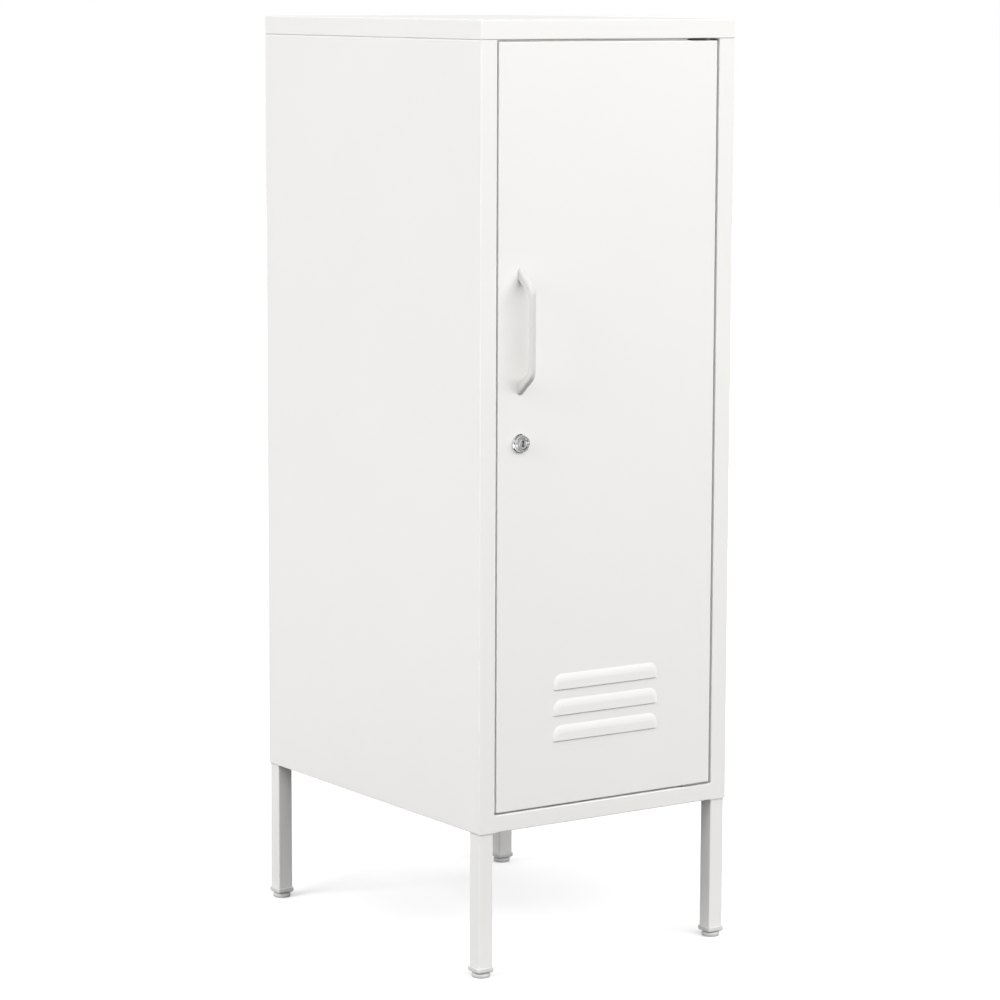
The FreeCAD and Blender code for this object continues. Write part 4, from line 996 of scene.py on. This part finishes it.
class LOCKER_OT_lock(bpy.types.Operator):
    """Makes the cam lock: its plated body with a threaded barrel, its nut and its plug with a key slot"""

    bl_idname = "locker.lock"
    bl_label = "Lock"

    def execute(self, context):
        size = context.scene.locker_lock
        self.make_body(size)
        self.make_nut(size)
        self.make_plug(size)
        return {"FINISHED"}

    @staticmethod
    def make_body(size):
        """Flange, ring and barrel, turned in one piece."""
        low, high, middle = box_of("lock_body")
        radius, depth = (high.x - low.x) / 2, high.y - low.y
        root = size.barrel - size.thread_depth
        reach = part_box("door_skin")[0].y + LOUVRE_REACH - low.y
        back, front = -depth, 0.0
        face, rim = -reach, -reach + size.flange_rim
        ring, bevel, curve = size.ring, 0.6 * MM, 0.5 * MM
        shape = lathe([
            (size.bore, back, 0), (root - bevel, back, 0), (root, back + bevel, 0),
            (root, face - 1.2 * MM, 0), (size.barrel, face - 0.8 * MM, 0), (size.barrel, face, 0),
            (radius, face, 0.12 * MM),
            (radius, rim, curve), (ring + bevel, rim + curve, curve), (ring, rim + 1.4 * MM, curve),
            (ring, front, 0.9 * MM), (size.bore + curve, front, 0.25 * MM), (size.bore, front - bevel, 0)],
            LOCK_SIDES, closed=True)
        piece = new_piece("lock_body_turned", shape)
        nut_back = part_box("lock_nut")[1].y - low.y
        grow(piece, cached("Threads", thread_tree), {
            "Crest Radius": size.barrel, "Depth": size.thread_depth, "Pitch": size.thread_pitch,
            "Start": back + 1.5 * MM, "Length": depth - nut_back - 2 * MM, "Tilt": HEAD_FRONT,
            "Place": (middle.x, low.y, middle.z), "Material": finish("lock_plating")})
        settle(piece, "door", "lock_chrome", "lock_body")

    @staticmethod
    def make_nut(size):
        """Hexagon nut with bevelled corners."""
        low, high, middle = box_of("lock_nut")
        flat, thick, bevel = (high.z - low.z) / 2, high.y - low.y, size.nut_bevel

        def hexagon(height):
            points = []
            for step in range(NUT_SIDES):
                turn = TURN * step / NUT_SIDES
                away = turn % (TURN / HEX_SIDES) - TURN / (2 * HEX_SIDES)
                radius = flat / math.cos(away)
                points.append((radius * math.cos(turn), radius * math.sin(turn), height))
            return points

        rim, bore, edge = flat - 0.1 * MM, size.barrel + PLAY, 0.4 * MM
        bored = [(bore + edge, thick), (bore, thick - edge), (bore, edge), (bore + edge, 0)]
        shape = loft([
            round_ring(rim, 0, NUT_SIDES), hexagon(bevel), hexagon(thick - bevel),
            round_ring(rim, thick, NUT_SIDES),
            *[round_ring(radius, height, NUT_SIDES) for radius, height in bored]], closed=True)
        place = Matrix.Translation((middle.x, high.y, middle.z))
        shape.transform(place @ Matrix.Rotation(math.pi / 2, 4, "X"))
        piece = new_piece("lock_nut_bevelled", shape, "zinc_plating")
        settle(piece, "door", "zinc_steel", "lock_nut")

    @staticmethod
    def make_plug(size):
        """Plug with a dished face, a warded key slot whose walls are painted near black as shade, and a
        square end for the cam.
        """
        low, high, middle = box_of("lock_plug")
        radius, depth = (high.x - low.x) / 2, high.y - low.y
        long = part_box("lock_cam")[0].y - low.y
        dish, lip = 0.25 * MM, 1.1 * MM
        rings = [round_ring(reach, height, FINE_SIDES) for reach, height in eased([
            (0, -dish, 0), (radius - lip - 0.5 * MM, -dish, 0), (radius - lip, 0, 0.2 * MM),
            (radius, 0, 0.3 * MM), (radius, -long, 0)])]
        tip = square_ring(CAM_SQUARE / 2, 0.6 * MM, -long, FINE_SIDES // 4 - 1)
        rings.append(tip)
        rings.append([(x, y, -depth) for x, y, z in tip])
        rings.append([(0, 0, -depth)])
        turn = Matrix.Translation((middle.x, low.y, middle.z)) @ Matrix.Rotation(math.pi / 2, 4, "X")
        shape = loft(rings)
        shape.transform(turn)
        piece = new_piece("lock_plug_keyed", shape, "lock_plating", "keyway_steel")
        half, tall, above = size.key_width / 2, size.key_height / 2, 1 * MM
        step = half * 0.45
        # Outline of the slot with a ward on each side, at shares of half its height
        profile = [
            (-half, -tall), (half, -tall), (half, -0.45 * tall), (step, -0.3 * tall), (step, 0.1 * tall),
            (half, 0.25 * tall), (half, tall), (-half, tall), (-half, 0.55 * tall), (-step, 0.4 * tall),
            (-step, -0.05 * tall), (-half, -0.2 * tall)]
        key = loft([
            [(0, 0, above)], [(x, y, above) for x, y in profile],
            [(x, y, -size.key_depth) for x, y in profile], [(0, 0, -size.key_depth)]])
        key.transform(turn)
        # The slot's cut walls take the near-black finish of painted shade
        cut(piece, new_piece("key_form", key, "keyway_steel"))
        settle(piece, "lock_core", "lock_chrome", "lock_plug")


class LOCKER_OT_buffers(bpy.types.Operator):
    """Makes the domed buffers behind the door's free edge"""

    bl_idname = "locker.buffers"
    bl_label = "Buffers"

    def execute(self, context):
        low, high, middle = box_of("door_buffers")
        radius = (high.x - low.x) / 2
        piece = dotted("door_buffers_domed", [
            ((middle.x, high.y, z), HEAD_FRONT) for z in (low.z + radius, high.z - radius)])
        grow(piece, cached("Domed buffers", buffer_tree), {
            "Radius": radius, "Height": high.y - low.y, "Material": finish("buffer_rubber")})
        settle(piece, "cabinet", "buffer_rubber", "door_buffers")
        return {"FINISHED"}


class LOCKER_OT_rail_paint(bpy.types.Operator):
    """Fills the seams between the rail and the stiles with paint"""

    bl_idname = "locker.rail_paint"
    bl_label = "Rail paint"

    def execute(self, context):
        low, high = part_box("floor_panel")
        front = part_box("side_panel_left")[0].y
        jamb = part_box("side_panel_right")[0].x
        for hand, sign in (("left", -1), ("right", 1)):
            near, far = sign * (jamb - SEAM_REACH), sign * (jamb + SEAM_REACH)
            outer, inner = front + SEAM_SINK, front + SEAM_DEPTH
            corners = [(far, outer), (far, inner), (near, inner), (near, outer)]
            middle = (sign * jamb, front + SEAM_DEPTH / 2)
            shape = loft([
                [(*middle, low.z)], [(x, y, low.z) for x, y in corners],
                [(x, y, high.z) for x, y in corners], [(*middle, high.z)]])
            piece = new_piece(f"rail_paint_{hand}", shape, "white_coat")
            soften_shading(piece)
            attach(piece, "cabinet")
        return {"FINISHED"}


class LOCKER_OT_stage(bpy.types.Operator):
    """Makes the camera, the lamps and the pale floor"""

    bl_idname = "locker.stage"
    bl_label = "Stage"

    def execute(self, context):
        studio = context.scene.locker_studio
        context.scene.view_settings.view_transform = "Standard"
        self.make_camera(context, studio)
        self.make_lamps(studio)
        self.make_world(context, studio)
        self.make_floor(studio)
        self.make_cards()
        return {"FINISHED"}

    @staticmethod
    def make_camera(context, studio):
        """Camera at the photograph's place and angle."""
        data = bpy.data.cameras.new("camera")
        data.lens = studio.camera_lens
        data.sensor_width = SENSOR_WIDTH
        data.clip_end = CLIP_END
        camera = put_in_scene("camera", data)
        camera.matrix_world = (
            Matrix.Translation(studio.camera_place)
            @ Matrix.Rotation(studio.camera_heading, 4, "Z")
            @ Matrix.Rotation(math.pi / 2 - studio.camera_tilt, 4, "X")
            @ Matrix.Rotation(studio.camera_roll, 4, "Z"))
        context.scene.camera = camera

    @staticmethod
    def make_lamps(studio):
        """Soft rectangular lamps, aimed at the locker."""
        for name, (place, size) in LAMPS.items():
            data = bpy.data.lights.new(f"{name}_lamp", "AREA")
            data.shape = "RECTANGLE"
            data.size, data.size_y = size
            data.energy = getattr(studio, f"{name}_power")
            lamp = put_in_scene(f"{name}_lamp", data)
            lamp.location = place
            lamp.rotation_euler = (LAMP_TARGET - Vector(place)).to_track_quat("-Z", "Y").to_euler()
            lamp.visible_camera = lamp.visible_glossy = False

    @staticmethod
    def seen_rays(tree):
        """1 for the rays that show the background: those from the camera, and through gloss or glass."""
        path = add(tree, "ShaderNodeLightPath").outputs
        seen = calculate(tree, "MAXIMUM", path["Is Camera Ray"], path["Is Glossy Ray"])
        return calculate(tree, "MAXIMUM", seen, path["Is Transmission Ray"])

    def make_world(self, context, studio):
        """Even light from above, shown as white."""
        world = bpy.data.worlds.new("studio_world")
        world.use_nodes = True
        tree = world.node_tree
        background = tree.nodes["Background"]
        background.inputs["Color"].default_value = WHITE
        way = add(tree, "ShaderNodeTexCoord").outputs["Generated"]
        height = add(tree, "ShaderNodeSeparateXYZ", {"Vector": way}).outputs["Z"]
        rise = ramp(tree, height, SKY_RISE, 0.0, studio.sky)
        fall = ramp(tree, height, SKY_FALL, 1.0, studio.zenith)
        soft = times(tree, rise, fall)
        shown = add(tree, "ShaderNodeMix", {"Factor": self.seen_rays(tree), "A": soft, "B": 1.0})
        feed(tree, live(shown.outputs, "Result"), background.inputs["Strength"])
        context.scene.world = world

    def make_floor(self, studio):
        """Wide pale floor that takes the locker's shadow."""
        shape = loft([round_ring(radius, 0, FLOOR_SIDES) for radius in (0, FLOOR_INNER, FLOOR_REACH)])
        for face in shape.faces:
            if face.normal.z < 0:
                face.normal_flip()
        floor = new_piece("studio_floor", shape)
        material, tree, shader = new_material("studio_floor")
        seen = self.seen_rays(tree)
        tone = (*[studio.floor_bounce] * 3, 1)
        away = add(tree, "ShaderNodeVectorMath", {0: object_place(tree)}, operation="LENGTH").outputs["Value"]
        lift = ramp(tree, away, FLOOR_FADE, studio.floor_lift, 1.0)
        set_inputs(tree, shader, {
            "Base Color": blend_colours(tree, seen, tone, FLOOR_COLOUR), "Roughness": 1.0,
            "Specular IOR Level": 0.0, "Emission Color": WHITE, "Emission Strength": times(tree, seen, lift)})
        floor.data.materials.append(material)

    @staticmethod
    def make_cards():
        """Cards that only polished metal mirrors: three dark ones, and a grey one before the lock."""
        for name, (glow, start, end, across) in CARDS.items():
            opposite = [tuple(Vector(point) + Vector(across)) for point in (end, start)]
            corners = [start, end, *opposite]
            material, tree, shader = new_material(name)
            set_inputs(tree, shader, {
                "Base Color": CARD_BLACK, "Roughness": 1.0, "Emission Color": WHITE,
                "Emission Strength": glow})
            mesh = bpy.data.meshes.new(name)
            mesh.from_pydata(corners, [], [(0, 1, 2, 3)])
            mesh.materials.append(material)
            card = put_in_scene(name, mesh)
            card.visible_camera = card.visible_diffuse = card.visible_shadow = False
            card.visible_transmission = card.visible_volume_scatter = False


class LOCKER_PT_panel(bpy.types.Panel):
    """Lists the steps and sizes of the locker's looks"""

    bl_idname = "LOCKER_PT_panel"
    bl_label = "Mini locker"
    bl_space_type = "VIEW_3D"
    bl_region_type = "UI"
    bl_category = "Locker"

    def draw(self, context):
        for operator in OPERATORS:
            self.layout.operator(operator.bl_idname)
        for name, kind in SETTINGS.items():
            group = getattr(context.scene, name)
            box = self.layout.box()
            box.label(text=kind.__doc__)
            for key in kind.__annotations__:
                box.prop(group, key)


SETTINGS = {
    "locker_finishes": LockerFinishes,
    "locker_fasteners": LockerFasteners,
    "locker_feet": LockerFeet,
    "locker_lock": LockerLock,
    "locker_studio": LockerStudio,
}
OPERATORS = [
    LOCKER_OT_stage,
    LOCKER_OT_finishes,
    LOCKER_OT_screws,
    LOCKER_OT_leg_bolts,
    LOCKER_OT_feet,
    LOCKER_OT_lock,
    LOCKER_OT_buffers,
    LOCKER_OT_rail_paint,
]
CLASSES = [*SETTINGS.values(), *OPERATORS, LOCKER_PT_panel]


def register():
    """Adds the classes and the scene's settings."""
    for kind in CLASSES:
        bpy.utils.register_class(kind)
    for name, kind in SETTINGS.items():
        setattr(bpy.types.Scene, name, PointerProperty(type=kind))


def unregister():
    """Takes them out again."""
    for name in SETTINGS:
        delattr(bpy.types.Scene, name)
    for kind in reversed(CLASSES):
        bpy.utils.unregister_class(kind)


def main():
    """Builds the looks in order."""
    register()
    bpy.ops.locker.stage()
    bpy.ops.locker.finishes()
    bpy.ops.locker.screws()
    bpy.ops.locker.leg_bolts()
    bpy.ops.locker.feet()
    bpy.ops.locker.lock()
    bpy.ops.locker.buffers()
    bpy.ops.locker.rail_paint()


if __name__ == "__main__":
    main()
